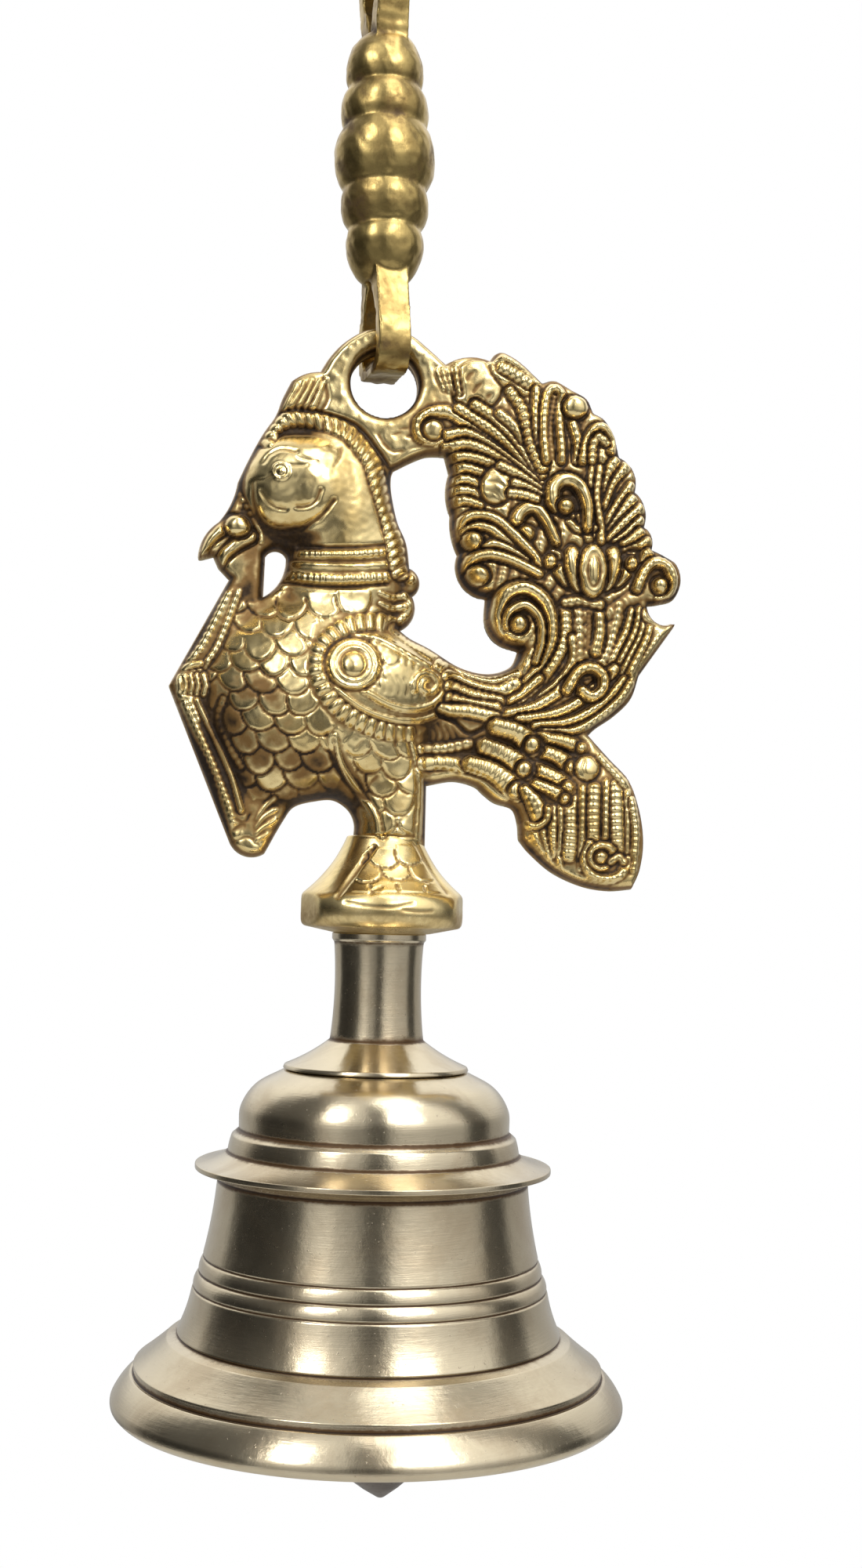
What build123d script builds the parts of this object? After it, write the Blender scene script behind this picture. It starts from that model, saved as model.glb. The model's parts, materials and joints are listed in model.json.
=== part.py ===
from build123d import *
import os
from math import cos, radians, sin, sqrt

# Brass puja bell on a bird handle, hung from one turned chain link.
# Row frame, mm: the origin is the centre of the round hole in the link's upper eye, +Z is up,
# the bird's flat side faces -Y and its beak points to -X.
# Everything below the link is drawn in the bell's own upright frame, whose origin is the pivot,
# and is then tilted and dropped into place by hang().

# ---- driving dimensions ----
EYE_DROP = 88.2        # upper hole centre down to the pivot, the middle of the lower eye's bar
LINK_TURN = 10.0       # degrees that the link is turned about the vertical
BELL_TILT = 1.4        # degrees that the bell leans, because the bird's tail outweighs its breast
AXIS_SHIFT = 2.2       # the pivot is this far to the beak's side of the bell's axis
BIRD_HEIGHT = 128.6    # pedestal's base up to the pivot
BELL_HEIGHT = 103.6    # rim up to the pedestal's base

# chain link
EYE_THICK = 7.6        # thickness of the flattened eyes
EYE_BORE_R = 5.2       # round hole in the upper eye
BAR_R = 3.0            # rounded top of the lower eye's bar, which carries the bird
LINK_MID = 48.3        # pivot up to the middle of the largest bead

# bird handle
PLATE_T = 8.4          # thickness of the flat parts
RING_U = -2.2          # the hanging hole's centre, in the bell's frame
RING_R = 7.8           # hanging hole, at its narrowest
RING_DROP = 4.5        # pivot down to the hole's centre
RING_FLARE = 2.2       # rounding of the hole's two edges
PEDESTAL_R = 19.4
PEDESTAL_FLAT = 18.4   # the pedestal's ends are cut back to this
PEDESTAL_FLAT_TURN = 15.0
THREAD_R = 3.0
THREAD_DEPTH = 16.0
FIT = 0.05             # gap round a fastener that is screwed or slipped in

# bell, heights are above the rim
RIM_R = 56.8
CROWN_H = 74.2         # outside of the crown, where the sleeve stands
CROWN_T = 4.6
BOLT_HOLE_R = 3.4

# tie bolt, washer and nut
WASHER_R = 9.0
WASHER_T = 1.5
NUT_FLATS = 10.0
NUT_T = 5.0
BOLT_EYE_H = 56.0      # centre of the bolt's eye, above the rim
BOLT_EYE_R = 4.2       # centre line of the eye
BOLT_EYE_WIRE = 1.6

# clapper
RING_WIRE = 1.1
CLAPPER_RING_R = 5.2
CLAPPER_LEAN = 1.5     # degrees that the clapper hangs off plumb, its hook being bent
ROD_EYE_R = 3.5
ROD_EYE_WIRE = 1.4
ROD_R = 2.4
TIP_DROP = 19.6        # clapper's tip below the rim
BOB_LENGTH = 38.0
BOB_SOCKET = 12.0      # how far the rod goes into the bob
LINK_GAP = 0.12        # gap between hanging loops

PIVOT = (0, 0, -EYE_DROP)


# ---- small helpers ----
def face_of(strokes):
    """Closed face from strokes that share their end points: 2 points are a line, 3 an arc, more a curve."""
    edges = []
    for stroke in strokes:
        if len(stroke) == 2:
            edges.append(Line(*stroke))
        elif len(stroke) == 3:
            edges.append(ThreePointArc(*stroke))
        else:
            edges.append(Spline(*stroke))
    return make_face(Wire(edges))


def plate(strokes, thick):
    """Outline drawn in X and Z, thickened equally to both sides of Y = 0."""
    return extrude(Plane.XZ * face_of(strokes), amount=thick / 2, both=True)


def turned(strokes):
    """Outline drawn in radius and height, turned about Z."""
    return revolve(Plane.XZ * face_of(strokes), Axis.Z)


def blob(centre, radii):
    """Ellipsoid centred at (x, z) in the plane Y = 0."""
    return Pos(centre[0], 0, centre[1]) * scale(Sphere(1), by=radii)


def hang(shape):
    """From the bell's upright frame to the row frame."""
    return Pos(*PIVOT) * Rot(0, BELL_TILT, 0) * shape


def from_rim(height):
    """Height above the rim, as Z in the bell's frame."""
    return height - BELL_HEIGHT - BIRD_HEIGHT


# ---- chain link ----
def link_beads():
    """Half of the turned body, from the lower eye's shoulder to the middle of the largest bead."""
    root = 22.0
    profile = [
        [(0, root), (6.2, root)],
        [(6.2, root), (6.4, 23.6)],
        [(6.4, 23.6), (9.0, 28.4), (7.9, 32.0)],
        [(7.9, 32.0), (10.1, 37.2), (8.7, 41.4)],
        [(8.7, 41.4), (10.8, 44.4), (11.6, LINK_MID)],
        [(11.6, LINK_MID), (0, LINK_MID)],
        [(0, LINK_MID), (0, root)],
    ]
    return turned(profile)


def eye_outline(hole_strokes):
    """One flattened eye, in Y and Z, with its foot buried in the nearest bead."""
    side = [(3.6, -3.2), (7.4, -1.6), (9.2, 3.4), (8.9, 9.0), (7.4, 15.0), (6.4, 20.0), (6.2, 27.0)]
    outline = [
        [(-3.6, -3.2), (3.6, -3.2)],
        side,
        [(6.2, 27.0), (-6.2, 27.0)],
        [(-y, z) for y, z in reversed(side)],
    ]
    body = extrude(Plane.YZ * face_of(outline), amount=EYE_THICK / 2, both=True)
    hole = extrude(Plane.YZ * face_of(hole_strokes), amount=EYE_THICK, both=True)
    return body - hole


def lower_eye():
    flank = [(2.4, -1.0), (5.0, 0.8), (5.8, 5.2), (5.2, 10.6), (3.2, 15.8), (0.0, 20.6)]
    hole = [[(-2.4, -1.0), (2.4, -1.0)], flank, [(-y, z) for y, z in reversed(flank)]]
    bar = Rot(90, 0, 0) * Cylinder(BAR_R, 12.8)
    return eye_outline(hole) + bar


def upper_eye():
    """Turned over, so that its hole's centre is EYE_DROP above the pivot."""
    bore_z = 2 * LINK_MID - EYE_DROP
    slot = 3.0
    meet = bore_z + sqrt(EYE_BORE_R**2 - slot**2)
    point = [[(-slot, meet - 2), (slot, meet - 2)], [(slot, meet - 2), (slot, meet)],
             [(slot, meet), (0, bore_z + 11.2)], [(0, bore_z + 11.2), (-slot, meet)],
             [(-slot, meet), (-slot, meet - 2)]]
    eye = eye_outline(point) - Pos(0, 0, bore_z) * Rot(0, 90, 0) * Cylinder(EYE_BORE_R, 2 * EYE_THICK)
    return Pos(0, 0, 2 * LINK_MID) * Rot(180, 0, 0) * eye


def baluster_link():
    lower = link_beads()
    upper = Pos(0, 0, 2 * LINK_MID) * Rot(180, 0, 0) * lower
    return Pos(*PIVOT) * Rot(0, 0, LINK_TURN) * (lower + upper + lower_eye() + upper_eye())


# ---- bird handle: outlines in u and v, from the bell's axis and the pedestal's base ----
def bird_outline():
    return [
        [(-6.3, 15.0), (-6.0, 21.0)],
        [(-6.0, 21.0), (-6.0, 24.5), (-7.6, 27.6), (-11.0, 29.7), (-15.0, 29.5), (-20.0, 28.0),
         (-22.6, 24.6), (-26.5, 17.3)],
        [(-26.5, 17.3), (-30.2, 16.7), (-33.6, 19.6)],
        [(-33.6, 19.6), (-48.0, 53.6)],
        [(-48.0, 53.6), (-35.4, 78.0)],
        [(-35.4, 78.0), (-38.0, 80.6)],
        [(-38.0, 80.6), (-39.3, 83.4)],
        [(-39.3, 83.4), (-42.5, 82.4)],
        [(-42.5, 82.4), (-41.8, 86.2), (-38.3, 90.6)],
        [(-38.3, 90.6), (-35.6, 95.0), (-34.2, 100.0)],
        [(-34.2, 100.0), (-31.9, 105.4), (-29.0, 111.2), (-26.2, 115.6), (-24.8, 119.6), (-22.9, 123.7)],
        [(-22.9, 123.7), (-20.0, 125.4), (-16.6, 126.0)],
        [(-16.6, 126.0), (-14.4, 129.8), (-11.2, 133.4), (-6.8, 136.2), (-1.8, 137.0), (3.4, 135.8),
         (7.6, 132.8), (11.6, 129.4)],
        [(11.6, 129.4), (16.6, 131.5), (21.9, 130.8)],
        [(21.9, 130.8), (24.0, 133.1), (28.2, 131.2), (33.6, 126.5)],
        [(33.6, 126.5), (36.4, 127.2), (40.4, 125.2), (43.8, 123.4), (45.4, 120.2)],
        [(45.4, 120.2), (48.0, 118.8), (50.2, 115.2), (51.5, 110.2)],
        [(51.5, 110.2), (54.3, 108.0), (55.2, 102.4)],
        [(55.2, 102.4), (57.4, 99.6), (57.5, 94.4)],
        [(57.5, 94.4), (59.2, 92.6), (59.4, 89.2)],
        [(59.4, 89.2), (62.4, 87.9), (65.4, 85.9), (66.4, 82.0), (64.8, 78.4), (61.6, 77.2), (58.6, 76.7)],
        [(58.6, 76.7), (59.4, 73.6), (65.4, 72.5)],
        [(65.4, 72.5), (57.0, 60.4)],
        [(57.0, 60.4), (55.2, 55.0), (51.5, 51.0), (47.4, 48.0), (45.4, 46.0)],
        [(45.4, 46.0), (50.5, 40.6), (55.0, 35.8), (57.6, 29.0), (58.6, 22.0), (57.9, 15.8), (56.2, 11.6)],
        [(56.2, 11.6), (51.0, 11.1), (45.0, 12.0), (38.5, 14.8), (33.4, 19.0), (31.0, 21.8)],
        [(31.0, 21.8), (30.6, 25.6), (29.2, 28.9), (25.2, 30.2), (22.8, 31.9), (20.4, 33.8), (15.5, 34.8),
         (9.3, 33.6)],
        [(9.3, 33.6), (9.3, 15.0)],
        [(9.3, 15.0), (-6.3, 15.0)],
    ]


def tail_gap():
    """Opening between the bird's neck and its tail."""
    return [
        [(0.0, 104.8), (-0.5, 103.0), (-0.3, 99.5), (1.2, 93.0), (3.4, 88.0), (4.3, 82.2)],
        [(4.3, 82.2), (6.6, 79.6), (4.9, 76.2)],
        [(4.9, 76.2), (5.6, 72.2), (2.1, 68.3)],
        [(2.1, 68.3), (4.9, 66.2), (9.5, 64.0), (16.6, 60.0), (23.0, 58.8), (28.2, 60.6), (30.1, 64.7)],
        [(30.1, 64.7), (25.2, 66.4), (22.4, 70.4), (22.4, 76.6)],
        [(22.4, 76.6), (17.2, 79.0), (15.9, 86.0)],
        [(15.9, 86.0), (14.4, 90.0), (14.0, 95.0)],
        [(14.0, 95.0), (12.9, 99.0), (13.5, 104.5)],
        [(13.5, 104.5), (12.2, 109.0)],
        [(12.2, 109.0), (8.0, 108.7), (4.5, 107.3), (0.0, 104.8)],
    ]


def beak_gap():
    """Small opening between the strap and the bird's throat."""
    return [
        [(-28.6, 73.8), (-28.4, 83.6)],
        [(-28.4, 83.6), (-25.9, 85.3), (-22.9, 83.4)],
        [(-22.9, 83.4), (-24.9, 76.8), (-28.6, 73.8)],
    ]


def pedestal():
    profile = [
        [(0, 0), (10.6, 0)],
        [(10.6, 0), (17.4, 1.4)],
        [(17.4, 1.4), (PEDESTAL_R, 4.6), (18.0, 8.6)],
        [(18.0, 8.6), (12.0, 14.8), (8.2, 21.6)],
        [(8.2, 21.6), (0, 21.6)],
        [(0, 21.6), (0, 0)],
    ]
    block = 20.0
    solid = turned(profile)
    for side in (0, 180):
        for turn in (-PEDESTAL_FLAT_TURN, PEDESTAL_FLAT_TURN):
            reach = PEDESTAL_FLAT * cos(radians(turn)) + block / 2
            solid -= Rot(0, 0, side + turn) * Pos(reach, 0, 5) * Box(block, 60, 30)
    return Pos(0.5, 0, 0) * solid


def hanging_hole():
    """Round hole through the bird's crest, opened out at both faces."""
    half = PLATE_T / 2 + 1
    wide = RING_R + RING_FLARE
    straight = PLATE_T / 2 - RING_FLARE
    bend = RING_FLARE * sin(radians(45))
    side = [(RING_R, straight), (wide - bend, straight + bend), (wide, PLATE_T / 2)]
    profile = [
        [(0, -half), (wide, -half)],
        [(wide, -half), (wide, -PLATE_T / 2)],
        [(r, -h) for r, h in reversed(side)],
        [(RING_R, -straight), (RING_R, straight)],
        side,
        [(wide, PLATE_T / 2), (wide, half)],
        [(wide, half), (0, half)],
        [(0, half), (0, -half)],
    ]
    return Rot(90, 0, 0) * turned(profile)


def bird_handle():
    bird = plate(bird_outline(), PLATE_T) - plate(tail_gap(), 2 * PLATE_T) - plate(beak_gap(), 2 * PLATE_T)
    masses = [
        ((-14.0, 50.0), (22.0, 15.5, 20.5)),    # breast
        ((-2.0, 57.0), (15.0, 12.5, 8.2)),      # wing
        ((-9.5, 80.0), (12.0, 10.4, 22.0)),     # neck
        ((-20.5, 100.6), (13.4, 12.0, 12.6)),   # head
        ((1.6, 31.0), (7.9, 8.6, 24.0)),        # leg
        ((38.5, 90.0), (15.0, 5.6, 27.0)),      # tail
        ((44.0, 28.0), (12.0, 5.4, 13.0)),      # lower plume
    ]
    for centre, radii in masses:
        bird += blob(centre, radii)
    bird += pedestal()
    bird -= Pos(0, 0, THREAD_DEPTH / 2) * Cylinder(THREAD_R + FIT, THREAD_DEPTH)
    bird = Pos(0, 0, -BIRD_HEIGHT) * bird
    bird -= Pos(RING_U, 0, -RING_DROP) * hanging_hole()
    return hang(Pos(AXIS_SHIFT, 0, 0) * bird)


# ---- sleeve and bell ----
def neck_sleeve():
    foot = CROWN_H
    profile = [
        [(BOLT_HOLE_R, foot), (19.6, foot)],
        [(19.6, foot), (20.6, foot + 0.4)],
        [(20.6, foot + 0.4), (20.3, foot + 1.2)],
        [(20.3, foot + 1.2), (14.6, foot + 4.1), (10.4, foot + 6.9)],
        [(10.4, foot + 6.9), (9.7, foot + 15.0), (10.0, BELL_HEIGHT - 2.0)],
        [(10.0, BELL_HEIGHT - 2.0), (10.5, BELL_HEIGHT - 1.4)],
        [(10.5, BELL_HEIGHT - 1.4), (10.5, BELL_HEIGHT)],
        [(10.5, BELL_HEIGHT), (BOLT_HOLE_R, BELL_HEIGHT)],
        [(BOLT_HOLE_R, BELL_HEIGHT), (BOLT_HOLE_R, foot)],
    ]
    return hang(Pos(AXIS_SHIFT, 0, from_rim(0)) * turned(profile))


def bell_shell():
    inside_top = CROWN_H - CROWN_T
    groove = 0.4
    profile = [
        [(49.6, 0), (56.0, 0)],
        [(56.0, 0), (RIM_R, 2.4), (52.4, 7.3)],
        [(52.4, 7.3), (51.0, 7.4)],
        [(51.0, 7.4), (51.0, 8.6)],
        [(51.0, 8.6), (46.2, 12.2), (42.4, 16.0)],
        [(42.4, 16.0), (42.0 - groove, 16.4)],
        [(42.0 - groove, 16.4), (42.0, 16.8)],
        [(42.0, 16.8), (40.2, 21.2), (39.0, 26.0)],
        [(39.0, 26.0), (38.9 - groove, 26.4)],
        [(38.9 - groove, 26.4), (38.8, 26.8)],
        [(38.8, 26.8), (38.5, 28.2), (37.9, 29.2)],
        [(37.9, 29.2), (37.8 - groove, 29.6)],
        [(37.8 - groove, 29.6), (37.7, 30.0)],
        [(37.7, 30.0), (37.5, 31.2), (37.0, 32.4)],
        [(37.0, 32.4), (36.9 - groove, 32.8)],
        [(36.9 - groove, 32.8), (36.8, 33.2)],
        [(36.8, 33.2), (35.2, 41.2), (34.2, 49.6)],
        [(34.2, 49.6), (36.2, 50.8), (39.2, 51.7)],
        [(39.2, 51.7), (39.2, 52.8)],
        [(39.2, 52.8), (35.2, 53.8), (32.2, 55.4)],
        [(32.2, 55.4), (31.9, 57.2), (31.4, 59.0)],
        [(31.4, 59.0), (29.9, 60.2)],
        [(29.9, 60.2), (29.6, 66.0), (26.4, 70.9), (20.4, CROWN_H)],
        [(20.4, CROWN_H), (BOLT_HOLE_R, CROWN_H)],
        [(BOLT_HOLE_R, CROWN_H), (BOLT_HOLE_R, inside_top)],
        [(BOLT_HOLE_R, inside_top), (14.0, inside_top)],
        [(14.0, inside_top), (21.2, 67.4), (24.8, 62.6), (25.6, 56.0)],
        [(25.6, 56.0), (29.2, 46.0), (31.8, 32.0), (34.8, 22.0), (40.4, 11.6), (46.8, 3.8), (49.6, 0)],
    ]
    return hang(Pos(AXIS_SHIFT, 0, from_rim(0)) * turned(profile))


# ---- tie bolt, washer and nut ----
def eye_bolt():
    top = BELL_HEIGHT + THREAD_DEPTH - 1.5
    foot = BOLT_EYE_H + BOLT_EYE_R
    rod = Pos(0, 0, (top + foot) / 2) * Cylinder(THREAD_R, top - foot)
    eye = Rot(90, 0, 0) * Torus(BOLT_EYE_R, BOLT_EYE_WIRE)
    hole = Rot(90, 0, 0) * Cylinder(BOLT_EYE_R - BOLT_EYE_WIRE, 4 * BOLT_EYE_WIRE)
    bolt = (rod - Pos(0, 0, BOLT_EYE_H) * hole) + Pos(0, 0, BOLT_EYE_H) * eye
    return hang(Pos(AXIS_SHIFT, 0, from_rim(0)) * bolt)


def crown_washer():
    disc = Cylinder(WASHER_R, WASHER_T) - Cylinder(BOLT_HOLE_R, 2 * WASHER_T)
    height = CROWN_H - CROWN_T - WASHER_T / 2
    return hang(Pos(AXIS_SHIFT, 0, from_rim(height)) * disc)


def crown_nut():
    corner = NUT_FLATS / sqrt(3)
    hexagon = extrude(RegularPolygon(corner, 6), amount=NUT_T / 2, both=True)
    rounding = Cylinder(corner - 0.1, NUT_T)
    nut = chamfer(rounding.edges().filter_by(GeomType.CIRCLE), 0.5) & hexagon
    nut -= Cylinder(THREAD_R + FIT, 2 * NUT_T)
    height = CROWN_H - CROWN_T - WASHER_T - NUT_T / 2
    return hang(Pos(AXIS_SHIFT, 0, from_rim(height)) * nut)


# ---- clapper: drawn plumb below the place where its ring hangs in the bolt's eye ----
def ring_seat():
    """Centre of the ring's wire where it rests in the bolt's eye, in the bell's frame."""
    height = BOLT_EYE_H - BOLT_EYE_R + BOLT_EYE_WIRE + RING_WIRE + LINK_GAP
    return (AXIS_SHIFT, 0, from_rim(height))


def plumb(shape):
    """Hangs a shape, drawn with its top at the origin, straight down from the ring's seat."""
    return hang(Pos(*ring_seat()) * Rot(0, -BELL_TILT, 0) * shape)


def clapper_ring():
    ring = Rot(0, 90, 0) * Torus(CLAPPER_RING_R, RING_WIRE)
    return plumb(Pos(0, 0, -CLAPPER_RING_R) * ring)


def clapper_tip_depth():
    """Ring's seat down to the clapper's tip."""
    return ring_seat()[2] - from_rim(-TIP_DROP)


def hinge_depth():
    """Ring's seat down to the wire that carries the clapper."""
    return 2 * CLAPPER_RING_R


def lean(shape):
    """Turns the clapper a little about the wire that carries it."""
    return Pos(0, 0, -hinge_depth()) * Rot(0, -CLAPPER_LEAN, 0) * Pos(0, 0, hinge_depth()) * shape


def clapper_rod():
    eye_depth = hinge_depth() + ROD_EYE_R - ROD_EYE_WIRE - RING_WIRE - LINK_GAP
    top = eye_depth + ROD_EYE_R
    foot = clapper_tip_depth() - BOB_LENGTH + BOB_SOCKET
    rod = Pos(0, 0, -(top + foot) / 2) * Cylinder(ROD_R, foot - top)
    hole = Rot(90, 0, 0) * Cylinder(ROD_EYE_R - ROD_EYE_WIRE, 4 * ROD_R)
    eye = Rot(90, 0, 0) * Torus(ROD_EYE_R, ROD_EYE_WIRE)
    return plumb(lean(rod - Pos(0, 0, -eye_depth) * hole + Pos(0, 0, -eye_depth) * eye))


def clapper_bob():
    """Turned pear with a blunt point, heights measured up from the tip."""
    profile = [
        [(0, 0), (0.7, 0.1)],
        [(0.7, 0.1), (4.2, 2.5)],
        [(4.2, 2.5), (9.4, 7.0), (12.2, 12.0), (12.6, 16.0), (10.8, 21.6), (7.0, 28.0), (4.6, 34.0)],
        [(4.6, 34.0), (5.4, 35.2), (5.4, 36.4)],
        [(5.4, 36.4), (4.2, BOB_LENGTH)],
        [(4.2, BOB_LENGTH), (0, BOB_LENGTH)],
        [(0, BOB_LENGTH), (0, 0)],
    ]
    socket = Pos(0, 0, BOB_LENGTH - BOB_SOCKET / 2) * Cylinder(ROD_R, BOB_SOCKET)
    return plumb(lean(Pos(0, 0, -clapper_tip_depth()) * (turned(profile) - socket)))


NODES = {
    "baluster_link": baluster_link,
    "bird_handle": bird_handle,
    "neck_sleeve": neck_sleeve,
    "bell_shell": bell_shell,
    "eye_bolt": eye_bolt,
    "crown_washer": crown_washer,
    "crown_nut": crown_nut,
    "clapper_ring": clapper_ring,
    "clapper_rod": clapper_rod,
    "clapper_bob": clapper_bob,
}

os.makedirs("parts", exist_ok=True)
for name, build in NODES.items():
    export_step(build(), f"parts/{name}.step")
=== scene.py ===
import json
import math

import bpy
import numpy as np
from mathutils import Matrix, Vector


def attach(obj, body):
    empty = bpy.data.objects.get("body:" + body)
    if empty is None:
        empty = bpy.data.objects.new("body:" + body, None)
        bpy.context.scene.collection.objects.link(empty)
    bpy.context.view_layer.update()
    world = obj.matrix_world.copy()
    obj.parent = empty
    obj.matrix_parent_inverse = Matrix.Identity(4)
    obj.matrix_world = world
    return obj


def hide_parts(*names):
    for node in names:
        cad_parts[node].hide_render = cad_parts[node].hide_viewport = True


# Brass puja bell: the looks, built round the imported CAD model.
# Metres in the scene. Outlines and relief are in millimetres, in the bell's upright frame:
# u runs from the bell's axis away from the beak, v runs up from the bird's pedestal's base.

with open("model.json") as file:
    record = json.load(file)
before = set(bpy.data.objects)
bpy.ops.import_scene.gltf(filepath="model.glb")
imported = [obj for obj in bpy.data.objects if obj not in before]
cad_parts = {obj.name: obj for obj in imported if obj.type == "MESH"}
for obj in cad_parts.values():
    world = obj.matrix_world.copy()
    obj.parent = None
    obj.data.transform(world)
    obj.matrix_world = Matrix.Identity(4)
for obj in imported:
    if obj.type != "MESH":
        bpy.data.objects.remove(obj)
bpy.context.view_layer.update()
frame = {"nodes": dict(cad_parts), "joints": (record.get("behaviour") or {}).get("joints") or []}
random = np.random.default_rng(7)

MM = 0.001
BELL_TILT = 1.4         # degrees
AXIS_SHIFT = 2.2        # from the pivot to the bell's axis
BIRD_HEIGHT = 128.6     # pedestal's base up to the pivot
BELL_HEIGHT = 103.6     # rim up to the pedestal's base
LINK_TURN = 10.0        # degrees
CLAPPER_LEAN = 1.5      # degrees
TIP_DROP = 19.6         # clapper's tip below the rim
VIEWPOINT = (-43.0, -408.0, -210.2)  # where the object is seen from

JOINTS = {joint["name"]: Vector(joint["pos_m"]) for joint in frame["joints"]}
PIVOT = JOINTS["bell_swing"]
HANG = Matrix.Translation(PIVOT) @ Matrix.Rotation(math.radians(BELL_TILT), 4, "Y")
BIRD_FRAME = HANG @ Matrix.Translation(Vector((AXIS_SHIFT, 0, -BIRD_HEIGHT)) * MM)
BELL_FRAME = BIRD_FRAME @ Matrix.Translation(Vector((0, 0, -BELL_HEIGHT)) * MM)


# ------------------------------------------------------------------ lines and meshes
def resampled(points, marks):
    """Length run and place of each mark along a line of points; marks gives the runs for the full length."""
    run = np.r_[0, np.cumsum(np.hypot(*np.diff(points, axis=0).T))]
    even = marks(run[-1])
    return even, np.column_stack([np.interp(even, run, values) for values in points.T])


def smooth_line(points, spacing=0.2):
    """Even samples of a Catmull-Rom curve through the points, with directions and length run."""
    p = np.reshape(points, (-1, 2)).astype(float)
    if len(p) > 2:
        ends = np.vstack([2 * p[0] - p[1], p, 2 * p[-1] - p[-2]])
        t = np.linspace(0, 1, 16, endpoint=False)[:, None]
        spans = []
        for a, b, c, d in zip(ends, ends[1:], ends[2:], ends[3:]):
            spans.append(0.5 * (2 * b + (c - a) * t + (2 * a - 5 * b + 4 * c - d) * t**2
                                + (3 * b - a - 3 * c + d) * t**3))
        p = np.vstack(spans + [p[-1:]])
    even, line = resampled(p, lambda long: np.linspace(0, long, max(2, int(long / spacing) + 1)))
    way = np.gradient(line, axis=0)
    way /= np.maximum(np.hypot(*way.T), 1e-9)[:, None]
    return line, way, even


def arc(a, m, b):
    """Points of the circular arc from a to b through m, without b."""
    (ax, ay), (mx, my), (bx, by) = a, m, b
    d = 2 * (ax * (my - by) + mx * (by - ay) + bx * (ay - my))
    cx = ((ax**2 + ay**2) * (my - by) + (mx**2 + my**2) * (by - ay) + (bx**2 + by**2) * (ay - my)) / d
    cy = ((ax**2 + ay**2) * (bx - mx) + (mx**2 + my**2) * (ax - bx) + (bx**2 + by**2) * (mx - ax)) / d
    start, mid, end = (math.atan2(y - cy, x - cx) for x, y in (a, m, b))
    sweep = (end - start) % math.tau
    if (mid - start) % math.tau > sweep:
        sweep -= math.tau
    radius = math.hypot(ax - cx, ay - cy)
    turns = [start + sweep * i / 24 for i in range(24)]
    return [(cx + radius * math.cos(t), cy + radius * math.sin(t)) for t in turns]


def traced(strokes):
    """Points along strokes that share their ends: 2 points are a line, 3 an arc, more a smooth curve."""
    points = []
    for stroke in strokes:
        if len(stroke) == 2:
            points.append(stroke[0])
        elif len(stroke) == 3:
            points += arc(*stroke)
        else:
            points += [tuple(p) for p in smooth_line(stroke, 0.5)[0][:-1]]
    return np.array(points + [strokes[-1][-1]], float)


def chained(start, *strokes):
    """Strokes in full from flat lists of numbers, each going on from where the one before it ends."""
    full = []
    for stroke in strokes:
        full.append([start] + list(zip(stroke[::2], stroke[1::2])))
        start = full[-1][-1]
    return full


def added(name, data):
    """New object of the data, in the scene."""
    made = bpy.data.objects.new(name, data)
    bpy.context.scene.collection.objects.link(made)
    return made


def placed(points, matrix):
    """Rows of points moved by a matrix."""
    return points @ np.array(matrix.to_3x3()).T + np.array(matrix.translation)


def mark_hollows_and_shade(mesh, hollow_and_shade):
    """Store how deep each vertex lies in a recess, 0 to 1, for the finish; on the bird it also holds brown
    patina and painted shade.
    """
    layer = mesh.attributes.new("hollow_and_shade", "FLOAT", "POINT")
    layer.data.foreach_set("value", np.asarray(hollow_and_shade, np.float32))


def new_mesh(name, vertices, faces, matrix, hollow_and_shade):
    """Smooth object from vertices in millimetres, placed by matrix."""
    mesh = bpy.data.meshes.new(name)
    mesh.from_pydata(placed(np.asarray(vertices, float) * MM, matrix).tolist(), [], faces)
    mark_hollows_and_shade(mesh, hollow_and_shade)
    mesh.validate()
    mesh.shade_smooth()
    return added(name, mesh)


def blurred_ring(values, reach):
    """Moving average round a closed list of rows."""
    return sum(np.roll(values, k, axis=0) for k in range(-reach, reach + 1)) / (2 * reach + 1)


def worn_profile(strokes, worn):
    """Closed profile (radius, height) with worn corners, and how deep each point lies in a recess."""
    spacing = 0.12
    line = resampled(traced(strokes), lambda long: np.arange(0, long, spacing))[1]
    half = max(1, int(worn / spacing))
    line = blurred_ring(blurred_ring(line, half), half)
    way = np.roll(line, -1, axis=0) - np.roll(line, 1, axis=0)
    outward = np.column_stack([way[:, 1], -way[:, 0]])
    outward /= np.hypot(*outward.T)[:, None]
    area = np.sum(line[:, 0] * np.roll(line[:, 1], -1) - np.roll(line[:, 0], -1) * line[:, 1])
    outward *= np.sign(area)
    hollow_and_shade = np.zeros(len(line))
    for reach, gain in ((5, 3.6), (14, 1.1)):
        hollow_and_shade += gain * np.sum((blurred_ring(line, reach) - line) * outward, axis=1)
    turn = np.abs(np.diff(np.unwrap(np.arctan2(way[:, 1], way[:, 0]))))
    keep, since, turned = [0], 0, 0.0
    for i in range(1, len(line)):
        since += 1
        turned += turn[i - 1]
        if turned > math.radians(2.5) or since * spacing > 1.6:
            keep.append(i)
            since, turned = 0, 0.0
    return line[keep], np.clip(hollow_and_shade[keep], 0, 1)


def between_rings(count, rings, segments):
    """Faces of the first count gaps between rings of vertices, the last ring followed by the first."""
    i = np.arange(segments)
    j = (i + 1) % segments
    faces = []
    for ring in range(count):
        a, b = ring * segments, ((ring + 1) % rings) * segments
        faces += np.column_stack([a + i, a + j, b + j, b + i]).tolist()
    return faces


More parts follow.
